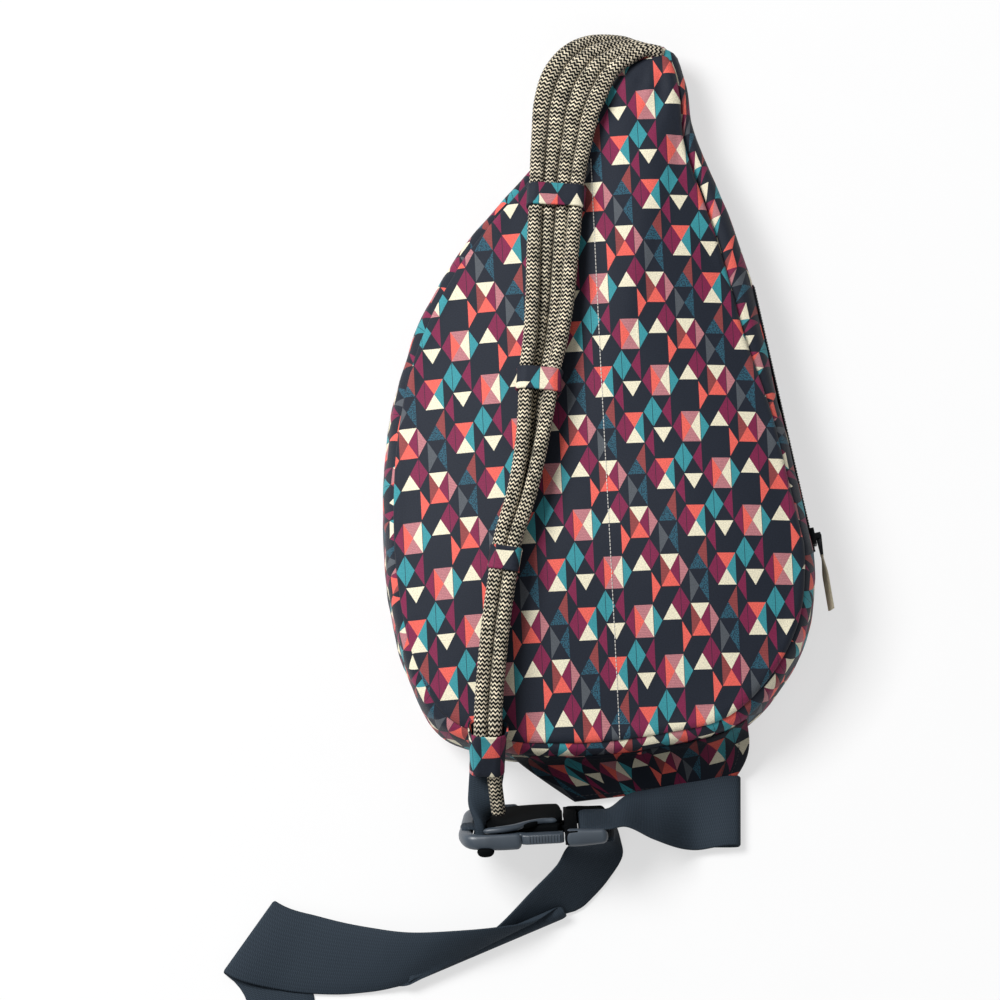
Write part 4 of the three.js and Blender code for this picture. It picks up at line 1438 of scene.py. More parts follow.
# Middle of the inner pair of ropes in millimetres, how far the outer ropes have climbed onto it and how far
# the row is turned on edge in degrees, and how far apart the ropes lie as a share of their pitch
ROPE_ROUTE = (
    (38, 257.6, 21, 0, 84, 1), (27, 260.3, 26, 0, 70, 1), (15, 257.4, 31, 0, 47, 1),
    (3.5, 252.8, 37, 0, 28, 1.05), (-7, 243.8, 43.5, 0, 9, 1.14), (-15.8, 229, 50, 0, 2, 1.24),
    (-21.5, 211.5, 55, 2, 0, 1.2),
    (-25.2, 186, 60.5, 8, 0, 1.1), (-27.4, 168, 65.3, 13, 0, 1.04), (-28.8, 152, 69.4, 17, 0, 1),
    (-30, 129, 75.4, 23, 0, 1), (-31.9, 97, 81.5, 32, 0, 1), (-34, 62, 85.9, 43, 0, 1),
    (-37.2, 33, 89.8, 54, 0, 1), (-40.3, 15, 92.4, 61, 0, 1), (-42.5, -8, 95.4, 69, 0, 1),
    (-46.5, -42, 99.2, 80, 0, 1),
    (-53.5, -78, 100.7, 86, 0, 1), (-63.4, -111, 99.5, 90, 0, 1), (-66.8, -134, 96.8, 90, 0, 1),
    (-71.3, -166, 90.6, 90, 0, 1), (-74.4, -196, 82.4, 90, 0, 1), (-76.3, -219, 76.4, 90, 0, 1),
    (-77, -237, 73.2, 90, 0, 1), (-77.1, -243, 69.4, 90, 0, 1), (-77.5, -257.5, 56.6, 90, 0, 1),
)


@dataclass
class Station:
    """One place on the rope's route, with the directions of its row of ropes."""

    centre: Array
    across: Array
    away: Array
    climb: float
    spread: float


@dataclass
class RopeStrap:
    """Four braided ropes, three keepers, the end sleeve and the tab that it holds."""

    shape: BagShape
    finishes: Finishes
    diameter: float = 9.4 * MM
    gap: float = 0.4 * MM
    strands: int = 4
    loose_strand: int = 3
    loose_end: float = 36 * MM
    loose_aside: float = 4 * MM
    plump: float = 1.07
    sides: int = 40
    rings_per_row: int = 5
    yarn_height: float = 0.28 * MM
    row_weight: float = 1 * MM
    keeper_spans: tuple[int, ...] = (9, 14, 18)
    keeper_length: float = 17 * MM
    keeper_wall: float = 1.3 * MM
    keeper_room: float = 0.35 * MM
    keeper_rim: float = 1.2 * MM
    print_step: tuple[float, float] = (17 * MM, 9 * MM)
    sleeve_start: float = -10 * MM
    sleeve_length: float = 33 * MM
    sleeve_room: float = 1.8 * MM
    tab_sizes: tuple = ((24.5 * MM, 6 * MM), (20 * MM, 8.6 * MM))
    tab_place: float = 6 * MM
    tab_loop: float = 16 * MM
    tab_wall: float = 1.3 * MM
    tab_power: float = 0.5
    loop_power: float = 0.6
    slot_place: float = -28.4 * MM
    bar_place: float = -36 * MM
    bar_reach: float = 4.5 * MM

    def station(self, index: int) -> Station:
        """Directions at one point of the route.

        Args:
            index: Number of the point.

        Returns:
            Its station, in the frame.
        """
        route = np.array(ROPE_ROUTE)
        at = self.shape.placed(route[:, :3] * MM)
        ahead, behind = at[min(index + 1, len(at) - 1)], at[max(index - 1, 0)]
        forward = unit(ahead - behind)
        turn = math.radians(route[index, 4])
        flat = sideways(forward)
        lifted = -np.cross(flat, forward)
        across = flat * math.cos(turn) + lifted * math.sin(turn)
        away = lifted * math.cos(turn) - flat * math.sin(turn)
        return Station(at[index], across, away, math.radians(route[index, 3]), route[index, 5])

    def places(self, climb: float, spread: float = 1.0) -> list[tuple[float, float]]:
        """Place of each rope about the middle of the inner pair.

        Args:
            climb: How far the outer ropes have climbed onto the inner pair, in radians.
            spread: How far apart the ropes lie, as a share of their pitch.

        Returns:
            Sideways and upward places.
        """
        pitch = spread * (self.diameter + self.gap)
        inner = pitch / 2
        outer, height = inner + pitch * math.cos(climb), pitch * math.sin(climb)
        return [(-outer, height), (-inner, 0.0), (inner, 0.0), (outer, height)]

    def rope_path(self, strand: int) -> Array:
        """Middle line of one rope at steps of its braid.

        Args:
            strand: The rope's number, from 0.

        Returns:
            One row a point: its place, the direction of its row and its spread.
        """
        knots = []
        for index in range(len(ROPE_ROUTE)):
            station = self.station(index)
            side, height = self.places(station.climb, station.spread)[strand]
            centre = station.centre + station.across * side + station.away * height
            knots.append((*centre, *(station.across * self.row_weight), station.spread * self.row_weight))
        knots = np.array(knots)
        if strand == self.loose_strand:
            onward = unit(knots[-1, :3] - knots[-2, :3]) * self.loose_end + (self.loose_aside, 0, 0)
            knots = np.vstack([knots, knots[-1] + np.array((*onward, 0, 0, 0, 0))])
        curve = spline(knots)
        step = BraidedRope.pitch / self.rings_per_row
        return spaced(curve, int(distances(curve[:, :3])[-1] / step))

    def braid(self, name: str, path: Array) -> Object:
        """A rope whose yarns stand up in zigzag rows.

        Args:
            name: The rope's name.
            path: Its middle line, the direction of its row and its spread.

        Returns:
            The rope.
        """
        line, spread = path[:, :3], path[:, 6:] / self.row_weight
        forward = unit(np.gradient(line, axis=0))
        across = unit(path[:, 3:6])
        across = unit(across - forward * np.sum(across * forward, axis=1, keepdims=True))
        third = np.cross(forward, across)
        share = np.arange(self.sides) / self.sides
        along = distances(line)
        swing = 2 * BraidedRope.swing * np.abs((share * BraidedRope.zigzags) % 1 - 0.5)
        phase = along[:, None] / BraidedRope.pitch + swing[None, :]
        yarns = np.abs(np.sin(2 * math.pi * phase)) ** 0.7 - 0.6
        corners = np.cos(4 * math.pi * share * BraidedRope.zigzags)[None, :]
        radius = self.diameter / 2 - 0.1 * MM + self.yarn_height * (yarns - 0.3 * corners)
        angle = 2 * math.pi * share
        wide = (across * spread * self.plump)[:, None] * np.cos(angle)[None, :, None]
        ring = wide + (third / spread)[:, None] * np.sin(angle)[None, :, None]
        points = line[:, None] + ring * radius[..., None]
        around = np.arange(self.sides + 1) / self.sides
        uv = grid_uv(around, along)
        return dress(skin(name, points, uv), self.finishes.rope)

    def build_ropes(self) -> None:
        """All four ropes."""
        for strand in range(self.strands):
            path = self.rope_path(strand)
            rope = self.braid(f"rope_{strand + 1}_braided", path)
            settle(rope, "root", Slot.ROPE, f"rope_strand_{strand + 1}")

    def bundle(self, climbs: Sequence[float], room: float, count: int = 96) -> Array:
        """Outline of cloth drawn round the four ropes.

        Args:
            climbs: How far the outer ropes have climbed, at the ends of the stretch.
            room: Room between the cloth and the ropes.
            count: Points of the outline.

        Returns:
            Sideways and upward places.
        """
        centres = np.array([place for climb in climbs for place in self.places(climb)])
        angles = np.linspace(0, 2 * math.pi, 360)
        out = np.column_stack([np.cos(angles), np.sin(angles)])
        furthest = centres[np.argmax(out @ centres.T, axis=1)]
        return spaced(furthest + out * (self.diameter / 2 + room), count + 1)[:-1]

    def band(self, name: str, span: int, start: float, profile: Sequence[tuple], seed: float) -> Object:
        """A sewn loop of fabric round the ropes.

        Args:
            name: Name of the piece.
            span: Stretch of the route that it is on.
            start: Its start along that stretch.
            profile: Closed section of the cloth: place along the rope, and distance from the ropes.
            seed: Place in the noise of its creases.

        Returns:
            The loop.
        """
        first, second = self.station(span), self.station(span + 1)
        axis = unit(second.centre - first.centre)
        across = sideways(axis)
        away = -np.cross(across, axis)
        rings = []
        for along, room in profile:
            outline = self.bundle((first.climb, second.climb), room)
            flat = outline[:, :1] * across + outline[:, 1:] * away
            rings.append(first.centre + axis * (start + along) + flat)
        points = np.array(rings)
        waves = (Ripples(9 * MM, seed, 0.45 * MM), Ripples(4 * MM, seed + 1, 0.2 * MM))
        crease = sum(wave.at(points) for wave in waves)
        points += unit(points - points.mean(axis=1, keepdims=True)) * crease[..., None]
        uv = ring_uv(points, wrap_rows=True) + seed * np.array(self.print_step)
        return dress(skin(name, points, uv, wrap_rows=True), self.finishes.fabric)

    def build_keepers(self) -> None:
        """The three keepers, each a folded band with rolled edges."""
        inner, outer = self.keeper_room, self.keeper_room + self.keeper_wall
        end = self.keeper_length
        rim = [(0.0, inner), (0.2 * MM, outer - 0.2 * MM), (self.keeper_rim, outer + 0.3 * MM)]
        shares = np.linspace(0.12, 0.88, 7)
        profile = rim + [(share * end, outer - 0.25 * MM * math.sin(math.pi * share)) for share in shares]
        profile += [(end - along, room) for along, room in rim[::-1]]
        for number, span in enumerate(self.keeper_spans, 1):
            reach = np.linalg.norm(self.station(span + 1).centre - self.station(span).centre)
            keeper = self.band(f"keeper_{number}_cloth", span, (reach - end) / 2, profile, 10.0 + number)
            settle(keeper, "root", Slot.PRINT, f"strap_keeper_{number}")

    def build_sleeve(self) -> None:
        """The end sleeve, whose mouth stands open round the ropes."""
        inner, outer = self.sleeve_room, self.sleeve_room + self.keeper_wall
        end = self.sleeve_length
        profile = [(0.0, inner + 1.6 * MM), (-0.4 * MM, outer + 1.4 * MM), (1.5 * MM, outer + 1.2 * MM)]
        shares = np.linspace(0.15, 0.85, 9)
        profile += [(share * end, outer + 0.5 * MM * math.cos(3 * share)) for share in shares]
        profile += [(end - 0.8 * MM, outer - 0.3 * MM), (end, outer - 0.9 * MM)]
        profile += [(end - 1 * MM, inner - 0.4 * MM)]
        profile += [(share * end, inner - 0.2 * MM) for share in (0.7, 0.4, 0.15)]
        sleeve = self.band("end_sleeve_cloth", len(ROPE_ROUTE) - 2, self.sleeve_start, profile, 21.0)
        settle(sleeve, "root", Slot.PRINT, "strap_end_sleeve")

    def build_tab(self, buckle: BuckleFrame) -> None:
        """The folded tape that leaves the sleeve, twists and loops round the socket's bar.

        Args:
            buckle: Place of the buckle.
        """
        last = len(ROPE_ROUTE) - 1
        first, end = self.station(last - 1), self.station(last)
        axis = unit(end.centre - first.centre)
        across = sideways(axis)
        leaving = first.centre + axis * (self.sleeve_start + self.sleeve_length + 3 * MM)
        landing = buckle.local((self.slot_place, self.tab_place, 2 * MM))
        share = np.linspace(0, 1, 25)[:, None]
        turn = eased(share, 0.25, 1)
        path = np.vstack([end.centre + axis * 0.6 * MM, leaving + (landing - leaving) * share])
        level = np.vstack([across, across * (1 - turn) - buckle.axes[:, 1] * turn])
        sizes = np.array(self.tab_sizes[0]) * (1 - share) + np.array(self.tab_sizes[1]) * share
        points = swept(path, level, np.vstack([self.tab_sizes[0], sizes]), self.tab_power)
        tape = dress(skin("strap_tape", points, ring_uv(points)), self.finishes.webbing)
        settle(tape, "root", Slot.WEBBING, "strap_end_tab")
        self.build_tab_loop(buckle)

    def build_tab_loop(self, buckle: BuckleFrame) -> None:
        """The tape's turn round the socket's bar.

        Args:
            buckle: Place of the buckle.
        """
        round_bar = rounded_section(32, self.loop_power)
        half = self.tab_loop / 2
        edge = half - 0.6 * MM
        profile = [(-half, 0.2), (-edge, 1.0), (0.0, 1.1), (edge, 1.0), (half, 0.2), (0.0, 0.1)]
        loops = []
        for along, share in profile:
            ring = round_bar * (self.bar_reach + share * self.tab_wall)
            place = np.full(len(ring), self.tab_place + along)
            loops.append(buckle.local(np.column_stack([ring[:, 0] + self.bar_place, place, ring[:, 1]])))
        points = np.array(loops)
        loop = skin("strap_tape_loop", points, ring_uv(points, wrap_rows=True), wrap_rows=True)
        settle(dress(loop, self.finishes.webbing), "root", Slot.WEBBING)


# Webbing


# Both edges of the webbing in millimetres, from the wing to the ladder, down to the floor and along it
WEBBING_TWIST = (
    ((67, -262.2, 9.3), (67, -311.4, 8)), ((39, -267.5, 9), (39, -309.5, 36)),
    ((20, -272, 8), (19, -302.9, 49)),
)
WEBBING_DROP = (
    ((16.5, -305.7, 5), (-5.6, -312.5, 46)), ((17.3, -313.9, 3), (-18.2, -313, 40)),
    ((7, -331.4, 1.5), (-29.4, -327.9, 35)), ((-5.6, -345.8, 1.5), (-45.5, -343.5, 28)),
    ((-14, -352.2, 1.5), (-75.6, -370.9, 12)),
)
WEBBING_RUN = (
    ((-42, -362.6, 17), (-133, -407.1, 9)), ((-69.3, -369.8, 27), (-140, -408.3, 6)),
    ((-100.1, -373.5, 31), (-150.5, -410.4, 4)), ((-131.6, -373.6, 26), (-163.1, -412, 3)),
    ((-163.1, -367.9, 18), (-184.1, -413.3, 2.5)), ((-194.6, -359.3, 11), (-220.5, -410.5, 3)),
)
# Over, round and back from the ladder's first bar: x and z of the buckle's own drawing, in millimetres
LADDER_ROUTE = (
    (62, -3.5), (54, -3.5), (49, -3.5), (45.2, -3.5), (42.8, -2.8), (41.4, 0.0), (42.8, 2.8), (45.2, 3.5),
    (49, 3.5), (58, 3.5), (64, 5.3),
)
# Section of the strip: place across it, and height as a share of half its thickness
STRIP_ACROSS = (0.012, 0.03, 0.2, 0.35, 0.5, 0.65, 0.8, 0.97, 0.988)
STRIP_HEIGHT = (0.6, 1, 1, 1, 1, 1, 1, 1, 0.6)


@dataclass
class Webbing:
    """One flat strap: sewn under the wing, folded back, round the ladder's first bar, and a loose tail."""

    shape: BagShape
    finishes: Finishes
    buckle: BuckleFrame
    width: float = 50 * MM
    thickness: float = 1.8 * MM
    on_floor: float = 1.3 * MM
    fold_right: tuple = ((95, -258), (95, -308))
    fold_middle: tuple = ((-24, -353.3), (-130.4, -399.4))
    fold_left: tuple = ((-224, -348.3), (-259.7, -399.5))
    fold_radii: tuple[float, float, float] = (4 * MM, 5 * MM, 2.6 * MM)
    hidden_start: float = 30 * MM
    hidden_tail: float = 86 * MM
    arriving: tuple[float, float] = (-1.0, -0.03)
    step: float = 1.68 * MM
    still_place: tuple[float, float, float] = (0.075, -0.28, 0.02)
    moving_place: tuple[float, float, float] = (0.005, -0.28, 0.02)

    def fold(self, pair: Sequence, radius: float, side: int, rising: bool) -> Array:
        """Stations round a fold on the floor.

        Args:
            pair: The fold's ends, x and y in millimetres.
            radius: Half its height.
            side: 1 where the strap folds on the right of the line from the first end, else -1.
            rising: Whether the strap goes up round the fold.

        Returns:
            Pairs of edge points.
        """
        ends = np.array(pair) * MM
        line = ends[0] - ends[1]
        outward = side * unit(np.array((line[1], -line[0])))
        stations = []
        for angle in np.linspace(-0.5, 0.5, 9) * math.pi * (1 if rising else -1):
            flat = ends + outward * radius * math.cos(angle)
            height = self.on_floor + radius * (1 + math.sin(angle))
            stations.append(np.column_stack([flat, np.full(2, height)]))
        return self.shape.placed(np.array(stations))

    def ladder(self) -> Array:
        """Stations over, round and back from the ladder's first bar.

        Returns:
            Pairs of edge points.
        """
        half = self.width / 2
        pairs = [[(x, -half, z), (x, half, z)] for x, z in np.array(LADDER_ROUTE) * MM]
        return self.buckle.local(np.array(pairs))

    def stations(self) -> Array:
        """All stations of the strap.

        Returns:
            Pairs of edge points, from the end under the wing to the end of the tail.
        """
        twist, drop, run = (self.shape.placed(np.array(pairs) * MM)
                            for pairs in (WEBBING_TWIST, WEBBING_DROP, WEBBING_RUN))
        right = self.fold(self.fold_right, self.fold_radii[0], 1, True)
        middle = self.fold(self.fold_middle, self.fold_radii[1], 1, True)
        left = self.fold(self.fold_left, self.fold_radii[2], -1, False)
        sewn = right[:1] - (self.hidden_start, 0.0, 0.0)
        crease = unit((left[-1, 1] - left[-1, 0])[:2])
        arriving = unit(np.array(self.arriving))
        leaving = 2 * np.dot(crease, arriving) * crease - arriving
        half = np.array((-leaving[1], leaving[0], 0.0)) * self.width / 2
        centre = left[-1].mean(axis=0) + np.array((*leaving, 0.0)) * self.hidden_tail
        hem = np.array([[centre + half, centre - half]])
        return np.concatenate([sewn, right, twist, self.ladder(), drop, middle, run, left, hem])

    def build(self) -> None:
        """The strap, as one ribbed strip with rounded edges."""
        curve = spline(self.stations().reshape(-1, 6), 12)
        curve = spaced(curve, int(distances(curve)[-1] / self.step))
        curve[:, 2::3] = np.maximum(curve[:, 2::3], self.thickness / 2)
        first, second = curve[:, :3], curve[:, 3:]
        middle = (first + second) / 2
        normal = unit(np.cross(np.gradient(middle, axis=0), second - first))
        around = np.array([0.0, *STRIP_ACROSS, 1.0, *STRIP_ACROSS[::-1]])
        rise = np.array(STRIP_HEIGHT)
        height = np.concatenate([[0.0], rise, [0.0], -rise]) * self.thickness / 2
        points = first[:, None] * (1 - around)[:, None] + second[:, None] * around[:, None]
        points = points + normal[:, None] * height[:, None]
        around = np.append(around, around[0])
        along = distances(first)[:, None] * (1 - around) + distances(second)[:, None] * around
        uv = np.stack(np.broadcast_arrays(around * self.width, along), axis=-1)
        strap = dress(skin("webbing_strip", points, uv), self.finishes.webbing)
        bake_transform(strap)
        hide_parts("webbing_strap")
        LOG.info("%s: %d faces between two bodies", strap.name, len(strap.data.polygons))


# Buckle


# Rounded mouldings of the buckle and the tape's end beside it, in the buckle's own drawing: x, y, z, and
# the size off its face and along its bars
SOCKET_RAIL = (
    (1, 28.9, 1, 11.4, 5.2), (-15, 28.9, 1, 11.4, 5.2), (-26, 28, 0.8, 11, 6.6), (-34.4, 25, 0.4, 10.8, 9),
    (-38.2, 15, 0, 9.6, 9.6), (-37, 0, -1.2, 9, 9), (-35.4, -14, -2.6, 9, 9), (-33.5, -23, -3.6, 9.4, 8.4),
    (-26, -28, -4, 10, 6.6), (-15, -28.9, -4, 10.5, 5.2), (1, -28.9, -4, 10.5, 5.2),
)
SOCKET_CORE = ((-24.5, 0, 0, 9, 33), (-12, 0, 0, 9, 33), (0.5, 0, 0, 9, 33))
SOCKET_TONGUE = ((-2, 0, 0, 11, 29), (12, 0, 0, 11.4, 29.4), (29.4, 0, 0, 11, 29))
SOCKET_FACE = (
    (-24.5, -2, -6.4, 3.8, 50), (-14, -2.4, -6.6, 4.2, 52), (-4, -4, -6.7, 4.2, 50), (7, -8, -6.7, 4.2, 43),
    (16, -9.6, -6.7, 4.2, 40), (29.8, -10, -6.5, 3.8, 39),
)
SOCKET_BACK = ((-24.5, 0, 6, 3, 54), (-12, 0, 6.2, 3.2, 55), (0.5, 0, 6, 3, 54))
SOCKET_RIDGE = (
    (-26, 23, -5.8, 4, 5), (-14, 24, -6.8, 4.4, 6), (-4, 21, -7.1, 4.2, 6), (7, 13, -7.2, 4, 5),
    (16, 9.4, -7.2, 3.8, 4), (26, 9, -7, 3.6, 4),
)
PLUG_BLOCK = (
    (30.6, 28, 0.4, 12.6, 7), (39, 28.2, 0.5, 12.8, 7), (48, 28.6, 0.5, 11.6, 6.4), (61, 28.7, 0, 10.2, 6),
)
TAPE_END = ((-31, 29, 7, 6, 7), (-25, 29.5, 7.4, 7, 8), (-19, 29, 7, 6, 7))


@dataclass
class Buckle:
    """The side-release buckle: socket, plug and two squeeze arms, with moulded edges."""

    place: BuckleFrame
    finishes: Finishes
    rows: ShapeRow
    end_round: float = 4 * MM
    grip: tuple[float, float] = (6 * MM, 27 * MM)
    grip_pitch: float = 2.1 * MM
    grip_height: float = 31 * MM
    rib: tuple[float, float, float] = (6.4 * MM, 1.1 * MM, 1.2 * MM)
    plate_power: float = 0.3
    plug_edge: float = 1.1 * MM
    prong_edge: float = 1 * MM
    sharp_degrees: float = 50.0

    def bar(self, name: str, knots: Sequence, mirrored: bool = False, power: float = 0.8) -> Object:
        """A rounded moulding with round ends.

        Args:
            name: Name of the piece.
            knots: Points of its middle line with their sizes, in millimetres.
            mirrored: Whether it is on the other side of the buckle's middle.
            power: 1 for round sections, less for squarer ones.

        Returns:
            The moulding.
        """
        curve = spline(np.array(knots, dtype=float) * MM, 16)
        curve = spaced(curve, 90) * ((1, -1, 1, 1, 1) if mirrored else 1)
        path = self.place.local(curve[:, :3])
        along = distances(path)
        ends = np.minimum(along, along[-1] - along) / self.end_round
        cap = np.sqrt(1 - np.clip(1 - ends, 0, 0.99) ** 2)[:, None]
        across = np.tile(self.place.axes[:, 2], (len(path), 1))
        points = swept(path, across, curve[:, 3:] * cap, power)
        return dress(skin(name, points, ring_uv(points)), self.finishes.plastic)

    def build_grip(self, name: str, body: str, side: int) -> None:
        """Ribs across the outer face of one squeeze arm.

        Args:
            name: Name of the ribs.
            body: Body that they move with.
            side: 1 for the upper arm, else -1.
        """
        rib_turn = Matrix(self.place.axes.tolist()).to_4x4() @ Matrix.Rotation(math.pi / 2, 4, "Y")
        rib = lozenge("rib_shape", self.rib, 8, rib_turn)
        line = self.place.local([(x, side * self.grip_height, 0.0) for x in self.grip])
        ribs = self.rows.along(name, [line], rib, self.grip_pitch, self.finishes.plastic, follow=False)
        bpy.data.objects.remove(rib)
        settle(ribs, body, Slot.PLASTIC)

    def build(self) -> None:
        """Every moulding."""
        # The near-black copy of the plastic is painted shade. The plug, the lower arm, the socket's plates,
        # the lower plug block and the tape's end wear it, and the other parts wear the satin.
        satin, matte = self.finishes.plastic, self.finishes.matte_plastic
        for node, body, rounding, finish in (
            ("buckle_plug", "buckle_plug", self.plug_edge, matte),
            ("buckle_prong_upper", "prong_upper", self.prong_edge, satin),
            ("buckle_prong_lower", "prong_lower", self.prong_edge, matte),
        ):
            piece = dress(moulded(node, rounding), finish, self.sharp_degrees)
            settle(piece, body, Slot.PLASTIC, node)
        for name, knots in (
            ("socket_core", SOCKET_CORE), ("socket_tongue", SOCKET_TONGUE), ("socket_face", SOCKET_FACE),
            ("socket_back", SOCKET_BACK),
        ):
            plate = self.bar(name, knots, power=self.plate_power)
            settle(dress(plate, matte), "root", Slot.PLASTIC)
        settle(self.bar("socket_rail", SOCKET_RAIL), "root", Slot.PLASTIC, "buckle_socket")
        settle(self.bar("socket_ridge", SOCKET_RIDGE), "root", Slot.PLASTIC)
        settle(dress(self.bar("tape_end", TAPE_END), matte), "root", Slot.WEBBING)
        settle(self.bar("plug_block_upper", PLUG_BLOCK), "buckle_plug", Slot.PLASTIC)
        settle(dress(self.bar("plug_block_lower", PLUG_BLOCK, True), matte), "buckle_plug", Slot.PLASTIC)
        self.build_grip("prong_upper_ribs", "prong_upper", 1)
        self.build_grip("prong_lower_ribs", "prong_lower", -1)


# Side zip


@dataclass
class SideZip:
    """Tapes, teeth, slider, pull tab and ribbon of the side zip."""

    shape: BagShape
    finishes: Finishes
    rows: ShapeRow
    height: float = 33 * MM
    end_margin: float = 4 * MM
    chain: float = 6 * MM
    tape: float = 8 * MM
    tape_thickness: float = 0.9 * MM
    gap: float = 0.3 * MM
    tooth: tuple[float, float, float] = (1.3 * MM, 3.6 * MM, 1.9 * MM)
    tooth_pitch: float = 2.0 * MM
    tooth_aside: float = 1.1 * MM
    tooth_level: float = 1.1 * MM
    slider_place: float = 10 * MM
    pin_height: float = 6.8 * MM
    ribbon_start: float = 14.6 * MM
    ribbon_length: float = 38.6 * MM
    ribbon_size: tuple[float, float] = (8 * MM, 1.6 * MM)
    ribbon_lean: float = 3.0
    ribbon_twist: float = 25.0
    ribbon_power: float = 0.35
    metal_edge: float = 0.35 * MM
    sharp_degrees: float = 40.0

    def __post_init__(self) -> None:
        """Works out the zip's axes: along the bag towards its top, up, and outwards."""
        low, high = (np.array(OUTLINE_SHARES[i]) * (self.shape.width, self.shape.length) for i in (0, -1))
        along = np.array((*unit(high - low), 0.0))
        up = np.array((0.0, 0.0, 1.0))
        self.axes = np.column_stack([along, up, np.cross(along, up)])
        self.origin = self.shape.placed(np.array((*(low + high) / 2, self.height)))
        self.half = np.linalg.norm(high - low) / 2 - self.end_margin

    def local(self, points: Array | Sequence) -> Array:
        """Points of the zip's own drawing, in the frame."""
        return self.origin + np.asarray(points) @ self.axes.T

    def strip(self, name: str, side: int) -> Object:
        """One woven tape.

        Args:
            name: Its name.
            side: 1 for the upper tape, else -1.

        Returns:
            The tape.
        """
        inner, outer = self.chain / 2 + self.gap, self.chain / 2 + self.tape
        low, high = self.gap, self.gap + self.tape_thickness
        section = [(inner, low), (outer, low), (outer, high), (inner, high)]
        places = np.linspace(-self.half, self.half, 60)
        points = np.array([[(x, side * y, z) for y, z in section] for x in places])
        across = np.array([inner, outer, outer, inner, inner])
        uv = grid_uv(across, places)
        return dress(skin(name, self.local(points), uv), self.finishes.tape, self.sharp_degrees)

    def build_chain(self) -> None:
        """The closed teeth: two rows that stand into each other."""
        turn = Matrix(self.axes.tolist()).to_4x4()
        tooth = lozenge("tooth_shape", self.tooth, 8, turn)
        level = self.gap + self.tooth_level
        lines = []
        for aside, start in ((self.tooth_aside, 0.0), (-self.tooth_aside, self.tooth_pitch / 2)):
            lines.append(self.local([(-self.half + start, aside, level), (self.half, aside, level)]))
        coil = self.finishes.coil
        teeth = self.rows.along("zip_teeth", lines, tooth, self.tooth_pitch, coil, follow=False)
        bpy.data.objects.remove(tooth)
        settle(teeth, "root", Slot.COIL, "zip_chain")

    def build_ribbon(self) -> None:
        """The pale ribbon on the pull tab, a little twisted."""
        share = np.linspace(0, 1, 40)
        lean = math.radians(self.ribbon_lean)
        twist = math.radians(self.ribbon_twist) * eased(share, 0.0, 0.4)
        reach = self.ribbon_start + share * self.ribbon_length
        x = -self.half + self.slider_place - reach * math.cos(lean)
        wave = 0.5 * MM * np.sin(5 * share)
        path = np.column_stack([x, wave, self.pin_height - reach * math.sin(lean)])
        across = np.column_stack([np.zeros_like(share), np.cos(twist), np.sin(twist)])
        sizes = np.tile(self.ribbon_size, (len(share), 1))
        points = swept(self.local(path), across @ self.axes.T, sizes, self.ribbon_power)
        ribbon = dress(skin("ribbon_cloth", points, ring_uv(points)), self.finishes.ribbon)
        settle(ribbon, "zip_pull", Slot.RIBBON, "zip_ribbon")

    def build(self) -> None:
        """Every piece of the zip."""
        settle(self.strip("zip_tape_upper_woven", 1), "root", Slot.TAPE, "zip_tape_upper")
        settle(self.strip("zip_tape_lower_woven", -1), "root", Slot.TAPE, "zip_tape_lower")
        self.build_chain()
        for node in ("zip_slider", "zip_pull"):
            piece = dress(moulded(node, self.metal_edge, 2), self.finishes.metal, self.sharp_degrees)
            settle(piece, node, Slot.METAL, node)
        self.build_ribbon()


# Studio


FLOOR_RAYS = ("Camera", "Glossy", "Transmission")


@dataclass(frozen=True)
class Lamp:
    """A square soft lamp: its name, place, side in metres and power in watts."""

    name: str
    place: tuple[float, float, float]
    size: float
    watts: float


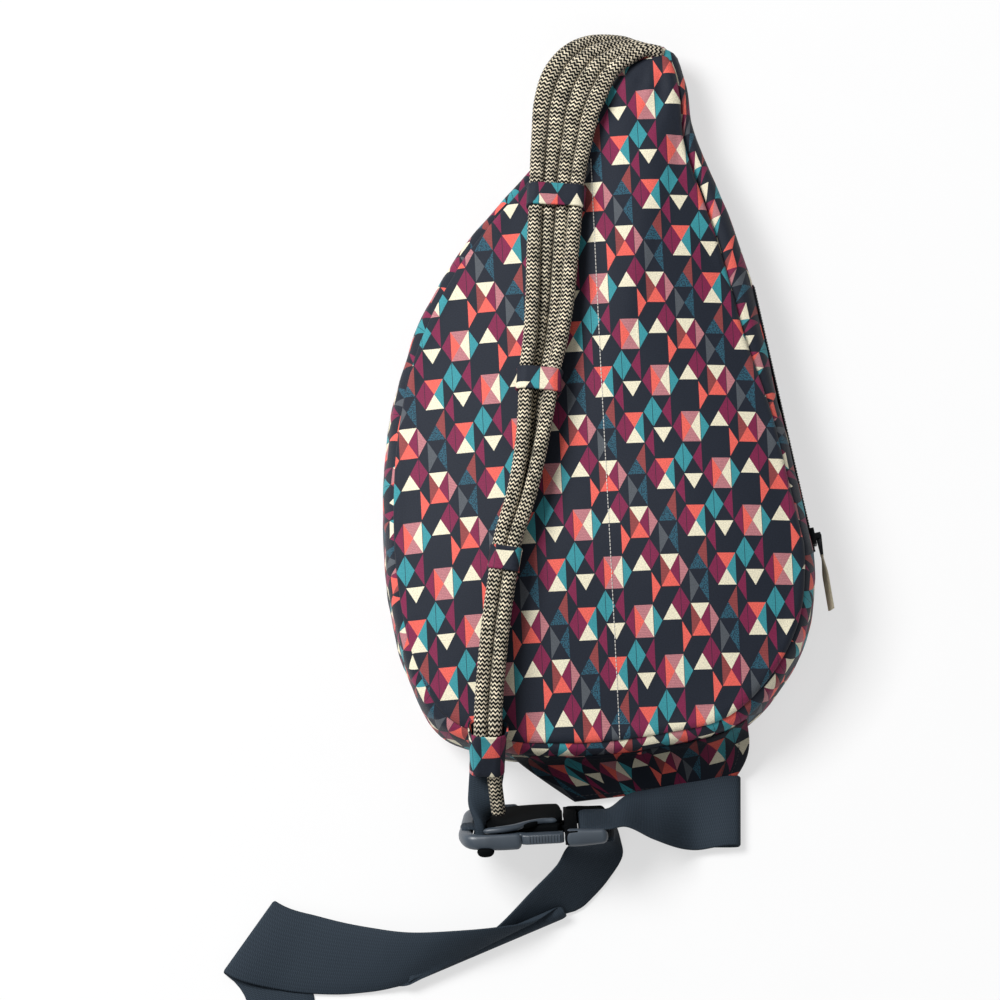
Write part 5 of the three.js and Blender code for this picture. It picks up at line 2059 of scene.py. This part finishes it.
@dataclass
class Studio:
    """Camera, soft lights and a plain pale floor."""

    shape: BagShape
    middle: tuple[float, float, float] = (-68.6 * MM, -68.7 * MM, 45 * MM)
    elevation_degrees: float = 78.0
    distance: float = 30.0
    view_width: float = 0.70
    sensor: float = 36.0
    clip_end: float = 50.0
    lamps: tuple[Lamp, ...] = (
        Lamp("key", (-4.4, 2.3, 6.5), 3.6, 720), Lamp("fill", (-1.4, -2.6, 4.4), 3.2, 20))
    sky_colour: tuple[float, float, float, float] = (0.97, 0.98, 1.0, 1.0)
    sky_strength: float = 0.22
    floor_half: float = 4.0
    floor_tones: tuple[float, float] = (0.9, 0.92)
    floor_grain: float = 40 * MM
    floor_glow: float = 0.62

    def __post_init__(self) -> None:
        """Finds the middle of the view in the frame."""
        self.aim = Vector(self.shape.placed(np.array(self.middle)))

    def place_camera(self) -> None:
        """The photograph's view: from above, a little towards the bag's foot."""
        lens = bpy.data.cameras.new("camera")
        lens.sensor_width = self.sensor
        lens.lens = self.sensor * self.distance / self.view_width
        lens.clip_end = self.clip_end
        camera = linked("camera", lens)
        rise = math.radians(self.elevation_degrees)
        back = Vector((0.0, -math.cos(rise), math.sin(rise)))
        camera.location = self.aim + back * self.distance
        camera.rotation_euler = (math.pi / 2 - rise, 0.0, 0.0)
        bpy.context.scene.camera = camera

    def add_lamp(self, lamp: Lamp) -> None:
        """Turns a lamp on, so that it faces the bag.

        Args:
            lamp: The lamp.
        """
        light = bpy.data.lights.new(lamp.name, "AREA")
        light.size = lamp.size
        light.energy = lamp.watts
        obj = linked(lamp.name, light)
        obj.location = lamp.place
        obj.rotation_euler = (self.aim - Vector(lamp.place)).to_track_quat("-Z", "Y").to_euler()

    def whiten(self, shader: Shader) -> None:
        """Lets the floor look paler than the light on it makes it, with the bag's shadow kept.

        Args:
            shader: The floor's nodes.
        """
        rays = shader.node("ShaderNodeLightPath").outputs
        camera, glossy, passing = (Field(shader.tree, rays[f"Is {kind} Ray"]) for kind in FLOOR_RAYS)
        seen = (camera + glossy + passing).limited()
        white = shader.node("ShaderNodeEmission", values={"Strength": 1.0})
        surfaces = {0: seen * self.floor_glow, 1: shader.surface.outputs[0], 2: white.outputs[0]}
        mix = shader.node("ShaderNodeMixShader", values=surfaces)
        shader.feed(shader.output, "Surface", mix.outputs[0])

    def build(self) -> None:
        """Lights, world and floor."""
        for lamp in self.lamps:
            self.add_lamp(lamp)
        world = bpy.data.worlds.new("soft_light")
        world.use_nodes = True
        sky = world.node_tree.nodes["Background"]
        sky.inputs["Color"].default_value = self.sky_colour
        sky.inputs["Strength"].default_value = self.sky_strength
        bpy.context.scene.world = world
        bpy.context.scene.view_settings.view_transform = "Standard"
        self.build_floor()

    def build_floor(self) -> None:
        """A plain square that the bag lies on."""
        shader = Shader("pale_floor")
        speck = shader.grain(shader.object_place(), self.floor_grain)
        tone = shader.mixed(speck, *((tone, tone, tone, 1.0) for tone in self.floor_tones))
        shader.finish(base_color=tone, roughness=0.8)
        self.whiten(shader)
        mesh = bpy.data.meshes.new("floor")
        half = self.floor_half
        corners = [(x * half, y * half, 0) for x, y in ((-1, -1), (1, -1), (1, 1), (-1, 1))]
        mesh.from_pydata(corners, [], [(0, 1, 2, 3)])
        mesh.materials.append(shader.material)
        linked("floor", mesh)


def main() -> None:
    logging.basicConfig(level=logging.INFO, format="%(message)s")
    shape = BagShape()
    studio = Studio(shape)
    studio.place_camera()
    finishes = Finishes.made()
    rows = ShapeRow()
    strap = RopeStrap(shape, finishes)
    strap.build_ropes()
    strap.build_keepers()
    strap.build_sleeve()
    buckle = BuckleFrame(shape)
    strap.build_tab(buckle)
    Webbing(shape, finishes, buckle).build()
    Buckle(buckle, finishes, rows).build()
    body = SewnBody(shape, finishes, rows)
    body.build_gusset()
    body.build_panel_stitches(body.build_back_panel())
    body.build_front_panel()
    body.build_wing()
    SideZip(shape, finishes, rows).build()
    studio.build()


if __name__ == "__main__":
    main()
